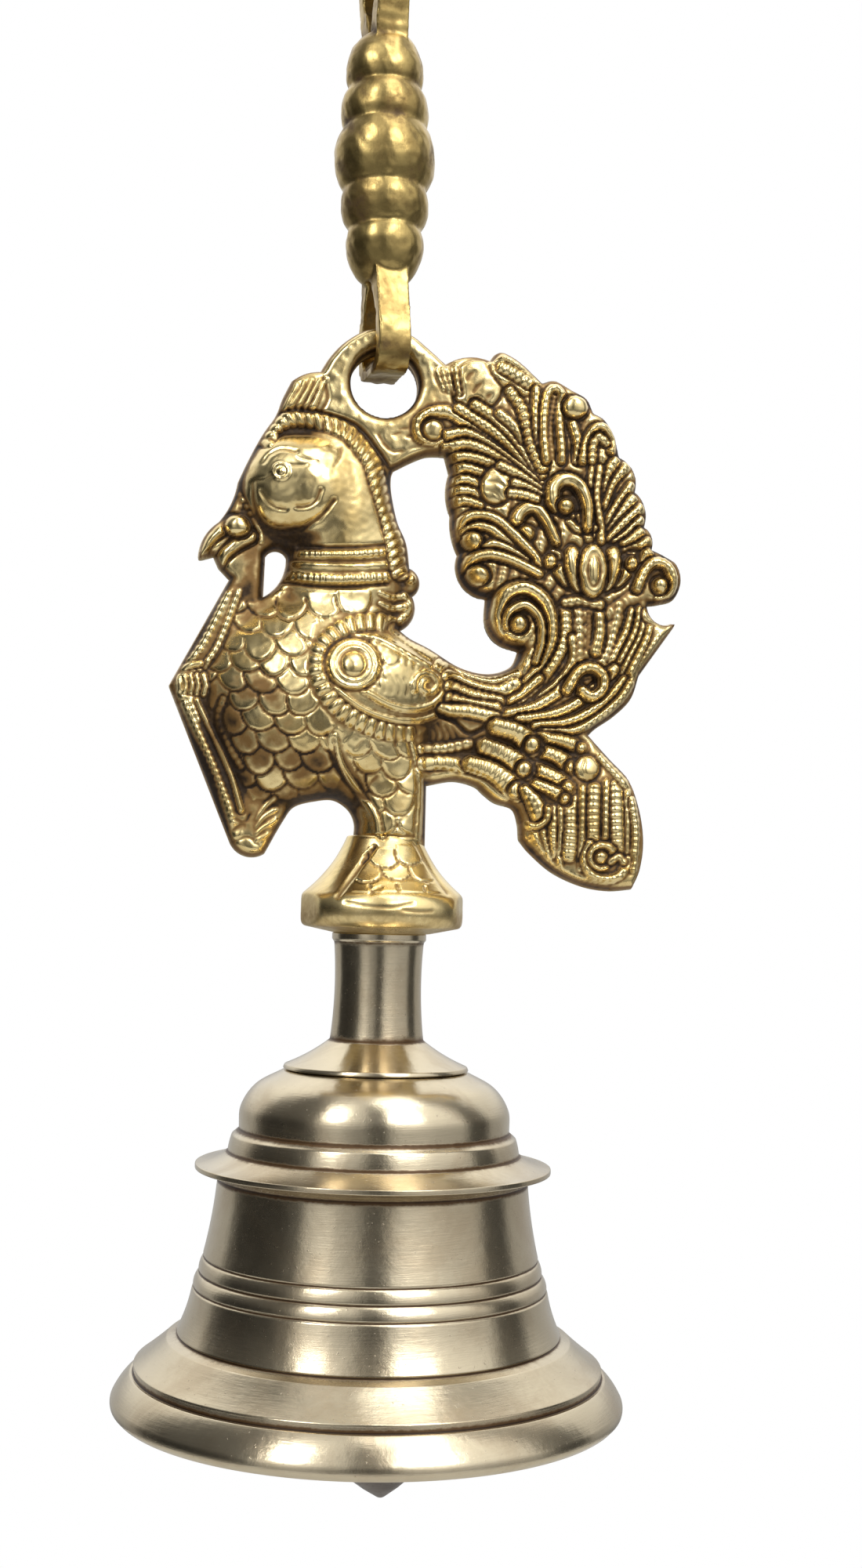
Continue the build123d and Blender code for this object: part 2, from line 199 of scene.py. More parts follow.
def lathe(name, strokes, matrix, segments, worn, out_of_round=0.0):
    """Turned solid with a hole through it, or a solid whose profile touches the axis."""
    line, hollow_and_shade = worn_profile(strokes, worn)
    line[:, 0] = np.maximum(line[:, 0], 0.02)
    turns = np.arange(segments) * math.tau / segments
    rings = []
    for radius, height in line:
        wobble = np.sin(2 * turns + height * 0.03) + 0.5 * np.sin(5 * turns + 1.3)
        r = radius * (1 + out_of_round * wobble)
        rings.append(np.column_stack([r * np.cos(turns), r * np.sin(turns), np.full(segments, height)]))
    faces = between_rings(len(line), len(line), segments)
    return new_mesh(name, np.vstack(rings), faces, matrix, np.repeat(hollow_and_shade, segments))


# ------------------------------------------------------------------ relief map of the bird
STEP = 0.28
LEFT, RIGHT, BOTTOM, TOP = -50, 68.6, -1.5, 139.5
U, V = np.meshgrid(np.arange(LEFT, RIGHT, STEP), np.arange(BOTTOM, TOP, STEP))
relief = np.zeros_like(U)
# brown patina and painted shade over the map, 0 to 1
stain_and_shade = np.zeros_like(U)
ORIGIN = np.array([U[0, 0], V[0, 0]])


def window(points, reach):
    """Rows and columns of the map within reach of the points."""
    low = np.floor((np.min(points, axis=0) - reach - ORIGIN) / STEP).astype(int)
    high = np.ceil((np.max(points, axis=0) + reach - ORIGIN) / STEP).astype(int) + 1
    return (slice(max(low[1], 0), max(high[1], 0)), slice(max(low[0], 0), max(high[0], 0)))


def trace(points, reach):
    """Window round a smooth line, and for its cells the distance, the side and the length run."""
    line, way, run = smooth_line(points)
    rows, cols = window(line, reach)
    shape = U[rows, cols].shape
    distance, side, travelled = np.full(shape, 9.9 * reach), np.zeros(shape), np.zeros(shape)
    for start in range(0, len(line), 24):
        part = slice(start, start + 25)
        r, c = window(line[part], reach)
        here = tuple(slice(a.start - b.start, a.stop - b.start) for a, b in ((r, rows), (c, cols)))
        du = U[r, c][..., None] - line[part, 0]
        dv = V[r, c][..., None] - line[part, 1]
        near = (du * du + dv * dv).argmin(-1)
        du = np.take_along_axis(du, near[..., None], -1)[..., 0]
        dv = np.take_along_axis(dv, near[..., None], -1)[..., 0]
        tu, tv = way[part, 0][near], way[part, 1][near]
        ahead = du * tu + dv * tv
        across = dv * tu - du * tv
        found = np.hypot(across, np.maximum(np.abs(ahead) - 0.12, 0))
        better = found < distance[here]
        distance[here] = np.where(better, found, distance[here])
        side[here] = np.where(better, across, side[here])
        travelled[here] = np.where(better, run[part][near] + ahead, travelled[here])
    return (rows, cols), distance, side, travelled, run[-1]


def cap(x):
    """Half round of unit height over -1..1."""
    return np.sqrt(np.clip(1 - x * x, 0, 1))


def groove(points, half, depth):
    """Chased line."""
    where, distance, _, _, _ = trace(points, half)
    relief[where] -= depth * np.clip(1 - distance / half, 0, 1)


def chip(points, half, depth):
    """Short cut of a flat graver, deep on one side and pointed at both ends."""
    where, distance, side, run, length = trace(points, half)
    thin = np.maximum(half * np.sin(np.pi * np.clip(run / length, 0, 1)) ** 0.6, 0.05)
    relief[where] -= np.where(distance < thin, depth * (0.5 + 0.5 * side / thin), 0)


def strand(points, half, rise, level=0.0, pitch=0.0, bite=0.3, ends=(1, 1), sink=0.6, slant=0.0, wide=1.0):
    """Raised round cord over what is under it, with a gutter beside it and, given a pitch, cross cuts."""
    gutter = 0.45
    where, distance, side, run, length = trace(points, half + gutter)
    share = np.clip(run / length, 0, 1)
    width = half * (ends[0] + (ends[1] - ends[0]) * share) * (1 + (wide - 1) * np.sin(np.pi * share))
    top = level + rise * cap(distance / width)
    if pitch:
        top -= bite * (1 - np.abs(np.sin(np.pi * (run + slant * side) / pitch))) ** 1.6
    beside = np.minimum(relief[where], level - sink * np.clip(1 - (distance - width) / gutter, 0, 1))
    around = np.where(distance < width + gutter, beside, relief[where])
    relief[where] = np.where(distance < width, top, around)


def beads(points, radius, pitch, rise, level=None):
    """Row of half-round beads along a line."""
    where, distance, _, run, length = trace(points, radius)
    along = (run + pitch / 2) % pitch - pitch / 2
    dome = rise * cap(np.hypot(distance, along) / radius)
    base = relief[where] if level is None else level
    relief[where] = np.where(np.hypot(distance, along) < radius, base + dome, relief[where])


def knob(centre, radii, rise, level, turn=0.0, sink=0.7, power=1.0):
    """Smooth oval dome with a gutter round it."""
    rows, cols = window(np.array([centre]), max(radii) + 0.8)
    du, dv = U[rows, cols] - centre[0], V[rows, cols] - centre[1]
    c, s = math.cos(math.radians(turn)), math.sin(math.radians(turn))
    x, y = (du * c + dv * s) / radii[0], (dv * c - du * s) / radii[1]
    out = np.hypot(x, y)
    gutter = np.clip(1 - (out - 1) * min(radii) / 0.7, 0, 1)
    inside = level + rise * cap(out) ** power
    beside = np.where(gutter > 0, np.minimum(relief[rows, cols], level - sink * gutter), relief[rows, cols])
    relief[rows, cols] = np.where(out < 1, inside, beside)


def spiral(centre, outer, inner, start, turns):
    """Points of a spiral that winds inward from its start angle in degrees; negative turns run clockwise."""
    count = int(abs(turns) * 14) + 2
    found = []
    for i in range(count):
        share = i / (count - 1)
        radius = outer + (inner - outer) * share
        angle = math.radians(start + 360 * turns * share)
        found.append((centre[0] + radius * math.cos(angle), centre[1] + radius * math.sin(angle)))
    return found


def inside(points):
    """Cells of the map inside a closed outline."""
    points = np.reshape(points, (-1, 2))
    found = np.zeros(U.shape, bool)
    for (ax, ay), (bx, by) in zip(points, np.roll(points, -1, axis=0)):
        if ay == by:
            continue
        first, last = np.ceil((min(ay, by) - ORIGIN[1]) / STEP), np.ceil((max(ay, by) - ORIGIN[1]) / STEP)
        rows = np.arange(max(int(first), 0), max(int(last), 0))
        rows = rows[rows < len(U)]
        cross = ax + (V[rows, 0] - ay) / (by - ay) * (bx - ax)
        found[rows] ^= U[rows] < cross[:, None]
    return found


def distance_to(points):
    """Distance from every cell to a closed outline, worked out near it and large elsewhere."""
    reach = 7.0
    found = np.full(U.shape, reach)
    points = np.vstack([points, points[:1]])
    for a, b in zip(points, points[1:]):
        rows, cols = window(np.array([a, b]), reach)
        way = b - a
        long = max(way @ way, 1e-9)
        du, dv = U[rows, cols] - a[0], V[rows, cols] - a[1]
        share = np.clip((du * way[0] + dv * way[1]) / long, 0, 1)
        near = np.hypot(du - share * way[0], dv - share * way[1])
        found[rows, cols] = np.minimum(found[rows, cols], near)
    return found


def blur(values, radius):
    """Gaussian blur of the map, its radius in millimetres."""
    rows, cols = values.shape
    fr, fc = np.fft.fftfreq(rows, STEP)[:, None], np.fft.rfftfreq(cols, STEP)[None, :]
    soften = np.exp(-2 * (math.pi * radius) ** 2 * (fr**2 + fc**2))
    return np.fft.irfft2(np.fft.rfft2(values) * soften, s=values.shape)


# ------------------------------------------------------------------ bird: outline and thickness
RING = (-2.2, BIRD_HEIGHT - 4.5)    # middle of the hanging hole
RING_R = 7.8
RING_BAR = 2.6          # the ring's rounded edge round its hole
PLATE = 4.2             # half the thickness of the flat parts
EDGE = 2.1              # half the height of the wall at the outline, at most
WALL_BULGE, BORE_BULGE = 0.45, 0.05     # of the wall between the two faces, and inside the hanging hole
TAIL_SHIFT = 0.9        # of the tail's far side, away from the beak

BIRD_OUTLINE = chained(
    (-6.3, 15), [-6, 21], [-6, 24.5, -7.6, 27.6, -11, 29.7, -15, 29.5, -20, 28, -22.6, 24.6, -26.5, 17.3],
    [-30.2, 16.7, -33.6, 19.6], [-48, 53.6], [-35.4, 78], [-38, 80.6], [-39.3, 83.4], [-42.5, 82.4],
    [-41.8, 86.2, -38.3, 90.6], [-35.6, 95, -34.2, 100],
    [-31.9, 105.4, -29, 111.2, -26.2, 115.6, -24.8, 119.6, -22.9, 123.7], [-20, 125.4, -16.6, 126],
    [-14.4, 129.8, -11.2, 133.4, -6.8, 136.2, -1.8, 137, 3.4, 135.8, 7.6, 132.8, 11.6, 129.4],
    [16.6, 131.5, 21.9, 130.8], [24, 133.1, 28.2, 131.2, 33.6, 126.5],
    [36.4, 127.2, 40.4, 125.2, 43.8, 123.4, 45.4, 120.2], [48, 118.8, 50.2, 115.2, 51.5, 110.2],
    [54.3, 108, 55.2, 102.4], [57.4, 99.6, 57.5, 94.4], [59.2, 92.6, 59.4, 89.2], [62.4, 87.9, 65.4, 85.9,
    66.4, 82, 64.8, 78.4, 61.6, 77.2, 58.6, 76.7], [59.4, 73.6, 65.4, 72.5], [57, 60.4],
    [55.2, 55, 51.5, 51, 47.4, 48, 45.4, 46],
    [50.5, 40.6, 55, 35.8, 57.6, 29, 58.6, 22, 57.9, 15.8, 56.2, 11.6],
    [51, 11.1, 45, 12, 38.5, 14.8, 33.4, 19, 31, 21.8], [30.6, 25.6, 29.2, 28.9, 25.2, 30.2, 22.8, 31.9,
    20.4, 33.8, 15.5, 34.8, 9.3, 33.6], [9.3, 15], [-6.3, 15])
TAIL_GAP = chained(
    (0, 104.8), [-0.5, 103, -0.3, 99.5, 1.2, 93, 3.4, 88, 4.3, 82.2], [6.6, 79.6, 4.9, 76.2],
    [5.6, 72.2, 2.1, 68.3], [4.9, 66.2, 9.5, 64, 16.6, 60, 23, 58.8, 28.2, 60.6, 30.1, 64.7],
    [25.2, 66.4, 22.4, 70.4, 22.4, 76.6], [17.2, 79, 15.9, 86], [14.4, 90, 14, 95], [12.9, 99, 13.5, 104.5],
    [12.2, 109], [8, 108.7, 4.5, 107.3, 0, 104.8])
BEAK_GAP = chained(
    (-28.6, 73.8), [-28.4, 83.6], [-25.9, 85.3, -22.9, 83.4], [-24.9, 76.8, -28.6, 73.8])
# centre, half sizes along u, through the bird and along v, and how softly each swelling runs out
MASSES = [
    ((-14.7, 51.2), (26.5, 17.4, 25.5), 0.72),  # breast
    ((-3.2, 55.4), (19, 14.6, 12.5), 0.6),      # wing
    ((-10.2, 81), (13.5, 10.6, 26), 0.6),       # neck
    ((-13.4, 98.4), (13.5, 10.6, 15.5), 0.55),  # nape
    ((-21.4, 98.9), (12.6, 12.9, 12.4), 0.5),   # head
    ((1.6, 31), (8.8, 8.9, 25), 0.55),          # leg
    ((30, 84), (24, 6.4, 42), 0.6),             # tail
    ((20, 49), (20, 6.6, 9), 0.8),              # root of the tail
    ((43, 29), (14.5, 6, 17), 0.6),             # lower plume
]


def thickness():
    """Half thickness of the bare casting: a plate with smooth swellings that run into each other."""
    power = 4.0
    total = np.full(U.shape, PLATE**power)
    for (cu, cv), (ru, through, rv), soft in MASSES:
        out = np.hypot((U - cu) / ru, (V - cv) / rv)
        total += (through * np.clip(1 - out**2, 0, 1) ** soft) ** power
    return total ** (1 / power)


# ------------------------------------------------------------------ bird: chased and cast ornament
def scale_rows(area, rows, half, long, rise):
    """Overlapping scales, lowest row first, so that each row lies on the one below it."""
    for centres in rows:
        for cu, cv in centres:
            cu, cv = cu + random.normal(0, 0.28), cv + random.normal(0, 0.3)
            r, c = window(np.array([(cu, cv)]), 1.2 * long + 0.5)
            tip = random.normal(0, 0.12)
            x = ((U[r, c] - cu) - tip * (cv - V[r, c])) / (half * random.uniform(0.92, 1.1))
            y = (cv - V[r, c]) / (long * random.uniform(0.88, 1.1))
            out = np.hypot(x, np.maximum(y, 0) ** 1.15)
            covers = (out < 1) & (y > -0.25) & area[r, c]
            top = rise * (0.5 + 0.5 * np.clip(out, 0, 1) ** 2.2) * np.where(out > 0.9,
                1 - (out - 0.9) * 3.0, 1)
            relief[r, c] = np.where(covers, top, relief[r, c])
            lip = (out >= 1) & (out < 1.12) & (y > 0.05) & area[r, c]
            relief[r, c] = np.where(lip, np.minimum(relief[r, c], -0.25), relief[r, c])


def staggered(u_range, v_range, across, down, slope=0.0, bend=0.0):
    """Rows of points, lowest first, every other one shifted by half a step, on sloping or bent lines."""
    rows = []
    middle = sum(u_range) / 2
    for k, v in enumerate(np.arange(v_range[0], v_range[1], down)):
        us = np.arange(u_range[0] + (k % 2) * across / 2, u_range[1], across)
        rows.append([(u, v + slope * (u - middle) + bend * (u - middle) ** 2) for u in us])
    return rows


def feather_coat():
    """Scales of the breast and the leg."""
    breast = inside([-36, 74, -30, 73, -25, 77.5, -1, 77.6, -2, 71, -10, 72, -16.5, 69, -18, 59, -16.5, 53,
        -12, 47.5, -9.5, 45, -12, 40, -9, 36, -11, 31, -21, 29.5, -29, 29, -33, 35, -37, 44, -41, 53,
        -39, 64])
    scale_rows(breast, staggered((-41, -2), (32, 78), 6.6, 4.3, 0.02, 0.004), 3.7, 5, 0.62)
    leg = inside([-9.5, 42, -6, 46.2, 5.2, 43.4, 6.4, 38, 8, 31, 7.6, 22.3, 0.4, 22.3, -1, 27, -4.5, 33])
    scale_rows(leg, staggered((-9, 9), (23, 45), 6.2, 4.2), 3.5, 4.7, 0.6)
    for u, v in ((-5.4, 42), (-2, 34), (4.5, 25)):
        chip([u - 1.2, v - 1.2, u + 1.2, v + 1.4], 0.6, 0.5)
    strand([-11, 44, -9.6, 38, -5.6, 31.5, -2, 26.5, -0.8, 22], 1.1, 0.9, ends=(0.4, 1))
    strand([5.6, 45.5, 7.4, 39, 8.8, 33, 8.6, 26, 8.3, 22], 0.9, 0.8, ends=(0.5, 1))
    groove([-13, 44, -11.6, 38.5, -8.4, 33.5, -4, 29.8], 0.7, 0.8)
    groove([-5.8, 21.6, 9.3, 21.9], 0.5, 0.7)


def head():
    rope = [-28.6, 110.6, -26, 114, -22, 115.6, -16, 115.2, -10.6, 113.4, -7, 110, -4.4, 106.4, -2.6, 101,
        -1, 96.5, 0.4, 92, 1.2, 88.5, 1.8, 85, 2.6, 81.6]
    strand(rope, 2.05, 1.5, 0.1, pitch=2.1, bite=1.2, sink=0.9, slant=0.35)
    for shift in (0, 1.6, 3.1, 4.7, 6.1):
        strand([-24.4 + shift, 118.2, -23.6 + shift, 120, -22.6 + shift * 1.05, 121.6 + shift * 0.3,
            -22.2 + shift * 1.12, 123.6 + shift * 0.25], 0.75, 0.75, pitch=0, ends=(1, 0.5), sink=0.35)
    groove([-25.4, 116.9, -22, 117.9, -16, 117.3, -9.5, 115.6, -6, 113, -3.6, 109.8, -0.6, 106], 0.8, 1)
    groove([-16, 125.4, -14.9, 121, -16.2, 117.8], 0.6, 0.7)
    groove([-3, 113, -1.6, 110.8, 0.4, 109.4, 2.4, 109.8], 0.5, 0.5)
    groove([0.6, 107.6, 4.4, 110.3, 9.5, 111.2], 0.6, 0.4)
    for u, v in ((1.2, 113.4), (2.6, 114.6), (4.2, 113)):
        chip([u - 1.2, v - 0.3, u + 1.2, v + 0.3], 0.5, 0.4)
    # eye, brow and cheek
    strand(spiral((-25, 103.3), 1.55, 1.55, 0, 1), 0.5, 0.6, 0.3, sink=0.3)
    knob((-25, 103.3), (0.85, 0.85), 0.7, 0.1, sink=0.2)
    groove([-28.9, 105.2, -27.6, 107, -25, 108.4, -21.8, 108.1], 0.75, 0.85)
    groove([-30.6, 101.1, -28.8, 101.3, -27, 102.2], 0.65, 0.8)
    groove([-22.6, 104.8, -21, 104.9, -19.4, 105.1], 0.45, 0.6)
    groove([-21.2, 107, -19, 106.3, -17, 106.1], 0.45, 0.5)
    groove([-11.6, 109.4, -11.6, 107.4, -12.8, 105.4], 0.45, 0.5)
    groove([-29.3, 98.6, -27.6, 96.3, -25.4, 95, -23.6, 94.8], 0.7, 0.9)
    groove([-15.9, 99.6, -17, 97, -18.8, 95.7, -21, 95.4], 0.75, 0.9)
    groove([-31.2, 100.2, -30.6, 95.4, -28.4, 91.4, -24.4, 89.8, -20, 90.6, -15.8, 93.6, -12.8, 97.4], 0.9,
        1.1)
    # beak, with ruffled skin at its root
    for k in range(6):
        u, v = -35.2 + 0.85 * k, 99.4 - 1.5 * k
        strand([u, v, u + 1.6, v - 2.4, u + 2, v - 4.6], 0.7, 0.7, ends=(0.6, 1), sink=0.4)
    strand([-36, 91, -38.6, 89.2, -40.9, 86.6, -42, 83.6], 1.9, 2.2, -0.6, ends=(1.1, 0.55))
    strand([-31.6, 88, -34.6, 86, -37, 83.8, -38.4, 81.4], 1.7, 1.9, -0.8, ends=(1, 0.75))
    knob((-34.3, 90.2), (2.9, 2.5), 2.6, 0.2, turn=-15)


def neck():
    for line, width, depth in (([-20.4, 86.4, -13, 86.6, -7, 87, -1.4, 87.8], 0.75, 1),
            ([-21.6, 83.2, -12, 83.4, -5, 83.9, 0.2, 84.6], 0.5, 0.7), ([-22.2, 81.2, -15, 80.9, -7, 81.4,
            0, 82], 0.4, 0.5), ([-24.4, 78.2, -16, 77.6, -8, 77.9, -0.4, 79], 0.8, 1.1)):
        groove(line, width, depth)
    strand([-20.8, 84.6, -13, 84.9, -7, 85.3, -0.6, 86.2], 0.95, 0.9, 0.1, pitch=1.25, bite=0.7, sink=0.6)
    strand([-21.6, 82.4, -12, 82.3, -5, 82.7, 0.4, 83.3], 0.55, 0.35, 0.1, sink=0.3)
    strand([-22.6, 79.6, -15, 79.2, -7, 79.6, -0.2, 80.4], 1.15, 0.8, 0.1, pitch=1.35, bite=0.8, sink=0.6)
    beads([5, 80.3, 5.1, 79.9], 1.5, 9, 1.6)
    beads([4.4, 74.2, 4.5, 73.8], 1.3, 9, 1.4)
    groove([2.2, 95, 3.4, 90, 4.2, 84], 0.4, 0.35)
    for v in (76.6, 74.2, 71.6):
        strand([-1.5, v, 1.2, v - 0.9, 3.8, v - 0.4], 0.9, 0.7, pitch=1.2, bite=0.4, ends=(0.7, 1))


def wing():
    area = inside([-16.8, 62, -15, 53, -10, 47, 0, 43.6, 6.2, 43.6, 14.8, 50, 17.5, 58.8, 10, 64.6,
        2.2, 69.6, -3, 71.4, -10, 71, -15, 67.6])
    relief[area] = 0.35
    boss = (-7.4, 60.2)
    ribbed = [2, 69.4, -3, 70, -8, 69.2, -12, 66.8, -14.8, 63.4, -15.4, 59, -14, 54.8, -11.6, 51.2,
        -8.4, 48.6, -4, 46.5, 0, 45.3, 5, 45.2]
    strand(ribbed, 2, 1, 0.35, pitch=2.3, bite=1.1, sink=0.6)
    strand([-12.6, 60.5, -11.4, 55.4, -7.4, 51.6, -2, 48.9, 5, 47.7, 11, 49, 15, 53], 0.85, 0.8, 0.4,
        ends=(0.6, 1), sink=0.5)
    strand([-10.6, 62.5, -8.6, 57.2, -4, 53.9, 0, 51.6, 5, 50.4, 10, 51.3, 13, 53.8, 14.4, 56.6], 0.85, 0.8,
        0.4, sink=0.6)
    strand([-12.4, 62, -9, 65.6, -3, 66.6, 3.4, 64, 9, 61, 14, 58.6], 0.75, 0.7, 0.4, ends=(0.7, 1),
        sink=0.5)
    knob(boss, (6.3, 5.8), 0.8, 0.3, sink=0.5, power=0.6)
    for radius in (5.1, 3.7):
        strand(spiral(boss, radius, radius, 0, 1), 0.6, 0.45, 1, sink=0.35)
    knob(boss, (2.8, 2.8), 1.3, 0.9, sink=0.3)
    strand(spiral((9.6, 56.2), 3.2, 1, 200, -1.25), 0.85, 0.9, 0.5, ends=(1, 0.8), sink=0.5)
    strand([1.6, 68.6, 5.4, 66.2, 9.4, 63.6, 14, 61, 19, 59.6], 1.3, 0.8, 0.3, pitch=1.2, bite=0.6)
    groove([-1.2, 61.2, 0.2, 60.2, 1.8, 60.2, 3, 61.2], 0.5, 0.6)
    for k in range(9):
        turn = math.radians(-62 + 17 * k)
        c, s = math.cos(turn), math.sin(turn)
        groove([(boss[0] + 6.4 * c, boss[1] + 6 * s), (boss[0] + 8 * c - 0.5 * s,
            boss[1] + 7.4 * s + 0.5 * c)], 0.35, 0.4)
    for k in range(8):
        u = -2.6 + 1.7 * k
        groove([u, 58.4 - 0.25 * k, u + 0.9, 56.2 - 0.2 * k, u + 0.6, 54.2 - 0.12 * k], 0.35, 0.35)
    for k in range(6):
        u = 2.5 + 1.7 * k
        groove([u, 64.6 - 0.75 * k, u + 0.8, 63 - 0.75 * k, u + 0.5, 61.4 - 0.7 * k], 0.35, 0.35)


def strap():
    """Garland from the beak down to the breast's foot, with its edge bevelled."""
    edge = [(-35.6, 77.4), (-41.6, 65.9), (-47.6, 53.6), (-40.6, 37), (-33.8, 20.4)]
    for a, b in zip(edge, edge[1:]):
        where, distance, _, _, _ = trace([a, b], 2.4)
        relief[where] -= 0.5 * np.clip(1 - distance / 2.4, 0, 1)
    band = inside([-36, 77, -33.5, 75.5, -38.6, 64, -40.4, 54, -37.6, 44, -32.4, 33, -30.2, 25, -31.6, 20.2,
        -34, 20, -47.6, 53.6])
    relief[band] = np.minimum(relief[band], 0) + 0.25
    beads([-36.3, 75, -38.8, 68.6, -41.4, 63, -44, 59.8], 0.95, 1.75, 0.9, 0.2)
    strand([-33.6, 75.4, -36, 68, -38.2, 62.4, -40.6, 58.6], 0.8, 0.7, 0.2, pitch=1.5, bite=0.4)
    for v in (58.9, 57):
        strand([-45.4, v - 0.8, -41.6, v], 0.7, 0.8, 0.2, sink=0.6)
    for k in range(5):
        u = -46.2 + 1.35 * k
        strand([u, 55.8 + 0.1 * k, u + 0.5, 53.9, u + 0.2, 52.2], 0.72, 0.9, 0.1, sink=0.6)
    strand([-46.6, 51.4, -41.6, 50.8], 0.5, 0.5, 0.1, sink=0.5)
    beads([-44.9, 49.6, -41.2, 42.8, -37.9, 36, -35.4, 30, -33.4, 24.2], 0.95, 1.5, 0.9, 0.2)
    beads([-43.4, 50.2, -41.6, 46.6], 0.8, 1.45, 0.8, 0.2)
    strand([-42, 50.6, -39.2, 44.6, -36.6, 39.4, -33.8, 33.6, -31.6, 26.6], 0.75, 0.9, 0.3, sink=0.8,
        ends=(0.8, 1))
    strand([-36.4, 51, -37.4, 46.4, -35, 41.2, -32, 36.4], 0.8, 0.5, 0, pitch=1.6, bite=0.3)
    for k in range(4):
        strand([-24.4 + 0.3 * k, 29.2 - 2.4 * k, -26.4, 27.4 - 2.2 * k, -28, 24.6 - 1.6 * k], 0.7, 0.6,
            ends=(1, 0.5), sink=0.4)
    groove([-33, 24.4, -30.8, 24, -29.6, 25.6], 0.5, 0.6)
    chip([-33.4, 21.6, -30.2, 23.2], 1, 0.7)
    groove([-33, 19.6, -29.6, 20.6, -26.6, 18.2], 0.5, 0.5)


def feather(points, half, rise, level=0, pitch=0, bite=0.3, **rest):
    """Full strand of the tail, fatter, higher and cut deeper than the strands on the body."""
    if not pitch:
        pitch, bite = 1.3, 0.22
    strand(points, 1.42 * half, 1.65 * rise, level, 1.25 * pitch, 1.8 * bite, **rest)


def tail_ground():
    """Fine radiating feathers that fill the ground between the bold forms of the tail."""
    turn, away = np.arctan2(V - 50, U - 20), np.hypot(U - 20, V - 50)
    barbs = np.sqrt(np.abs(np.cos(40 * turn + 0.03 * away)))
    cuts = 1 - 0.3 * np.cos(math.pi * away / 1.3) ** 2
    fade = np.clip(3 * (1 - np.hypot((U - 36) / 27, (V - 88) / 46)), 0, 1) * np.clip((away - 12) / 4, 0, 1)
    relief[...] += 1.1 * fade * barbs * cuts


def tail_fan():
    """Upper part of the tail, behind the ring."""
    knob((19.2, 125.8), (5.6, 6), 1, 0, turn=-20, power=0.5)
    for u, v in ((17.5, 127.5), (19.2, 124.9), (21.8, 122.8), (20.2, 120.8)):
        chip([u - 0.9, v - 1.4, u + 0.9, v + 1.3], 0.75, 0.6)
    for k in range(4):
        u = 10.9 + 1.2 * k
        feather([u - 0.6, 128.4 + 0.3 * k, u - 0.1, 126.6, u + 0.7, 124.4 - 0.3 * k], 0.6, 0.7,
            ends=(1, 0.5), sink=0.5)
    groove([13.6, 130, 13.9, 125, 14.6, 120.6, 18, 118.2], 0.7, 1)
    feather([10.4, 112.6, 6.6, 113.2, 6.2, 116.4, 9.2, 118.7, 13.4, 118.9, 19, 115.4, 25, 111.4, 30, 107,
        33.4, 103.8], 1.25, 1.1, 0.1, ends=(0.9, 0.9), sink=0.9)
    knob((9.4, 114.9), (2.5, 2.4), 1, 0)
    feathers = [([15.2, 120, 20, 117.2, 26, 113.2, 31, 108.2, 34, 104.6], 0.95),
        ([19, 121, 23.6, 118.2, 28, 114, 31.6, 109.6, 34.4, 105.8], 1), ([13, 113.9, 17, 114.4, 22, 111.9,
        28, 107.9, 32.6, 104.4], 0.95), ([12.8, 110.7, 17, 111.9, 22, 110.3, 28, 106.5, 32.6, 103.2], 0.95),
        ([12.9, 108.1, 17, 109, 22, 108, 26.4, 105.9], 0.9), ([13.1, 105.5, 17, 106.4, 20.8, 105.5], 0.9),
        ([14, 102.9, 17, 103.7, 20.2, 102.8], 0.9), ([13.9, 100.5, 17, 101.2, 20.4, 100.3], 0.9),
        ([13.2, 98, 17, 98.8, 20.4, 98], 0.9)]
    for line, half in feathers:
        feather(line, half, 1, 0, pitch=1.15, bite=0.45, ends=(1, 0.8), sink=1)
    feather([24.5, 119.2, 27.6, 116.6, 29.8, 113.2], 1.3, 1, 0.2, ends=(0.7, 0.4), sink=0.6, wide=1.2)
    knob((24.3, 102.8), (3.7, 4.6), 1.7, 0.2, turn=-24)
    for line in ([23, 105.4, 25.4, 104.8, 27.6, 102.6], [22, 103.2, 24.6, 102.8, 26.8, 100.8],
            [21.8, 101.2, 23.8, 100.6, 25.4, 99]):
        groove(line, 0.4, 0.5)
    for line in ([25, 107.2, 29, 105.4, 33.4, 102.4], [28.4, 103.4, 31, 102.4, 33.6, 101],
            [27.6, 101, 30.4, 100.8, 33, 100]):
        feather(line, 0.85, 0.9, 0.1, pitch=1.1, bite=0.4)
    # top leaf and the ladder feather below it
    feather([22.8, 131, 25, 132, 28.6, 130.2, 32.6, 126.8], 1, 0.9, 0.3, ends=(0.8, 0.8))
    feather([23.6, 129.4, 25.6, 127, 28.4, 125.2, 31.4, 125.4], 0.9, 0.9, 0.3)
    feather([25, 130, 27.6, 128.8, 30.6, 127], 1.1, 0.9, 0.3, pitch=1.3, bite=0.6)
    feather([26.8, 124.6, 29.4, 121, 30.9, 116, 32, 112, 34.4, 107.6], 1.2, 1, 0.1, pitch=1.5, bite=0.7,
        ends=(0.8, 0.9), sink=1)
    feather([32.6, 125.4, 32.6, 120, 33, 115, 34.6, 110], 0.75, 1, 0.1, ends=(1, 0.6), sink=1)
    # looped feather
    feather([35.2, 109.2, 34.6, 114, 34.5, 120, 35.2, 124.6, 37, 126.2, 38.6, 124.2, 38, 119, 38.6, 113,
        38.8, 109.4], 0.75, 1.2, 0.1, sink=1)
    beads([36.8, 124, 36.1, 119, 36.1, 114, 36.6, 110], 0.8, 1.25, 0.9, 0)
    knob((41.7, 122), (3, 2.8), 2, 0.3, turn=20, sink=1.6)
    feather([41.2, 117.6, 42.4, 113.6, 42.4, 109.6], 1.1, 1.3, 0.1, ends=(0.8, 0.7), sink=1.2)
    feather([43.6, 109.6, 44.4, 113.8, 46.2, 117.2, 48.9, 117.6, 50.4, 115.2, 50.2, 112.4], 0.8, 1.2, 0.1,
        sink=1)
    feather([45.8, 110, 46, 113.6, 47.4, 115.4, 48.8, 114.2], 0.8, 0.9, 0, pitch=1.3, bite=0.5, sink=0.9)


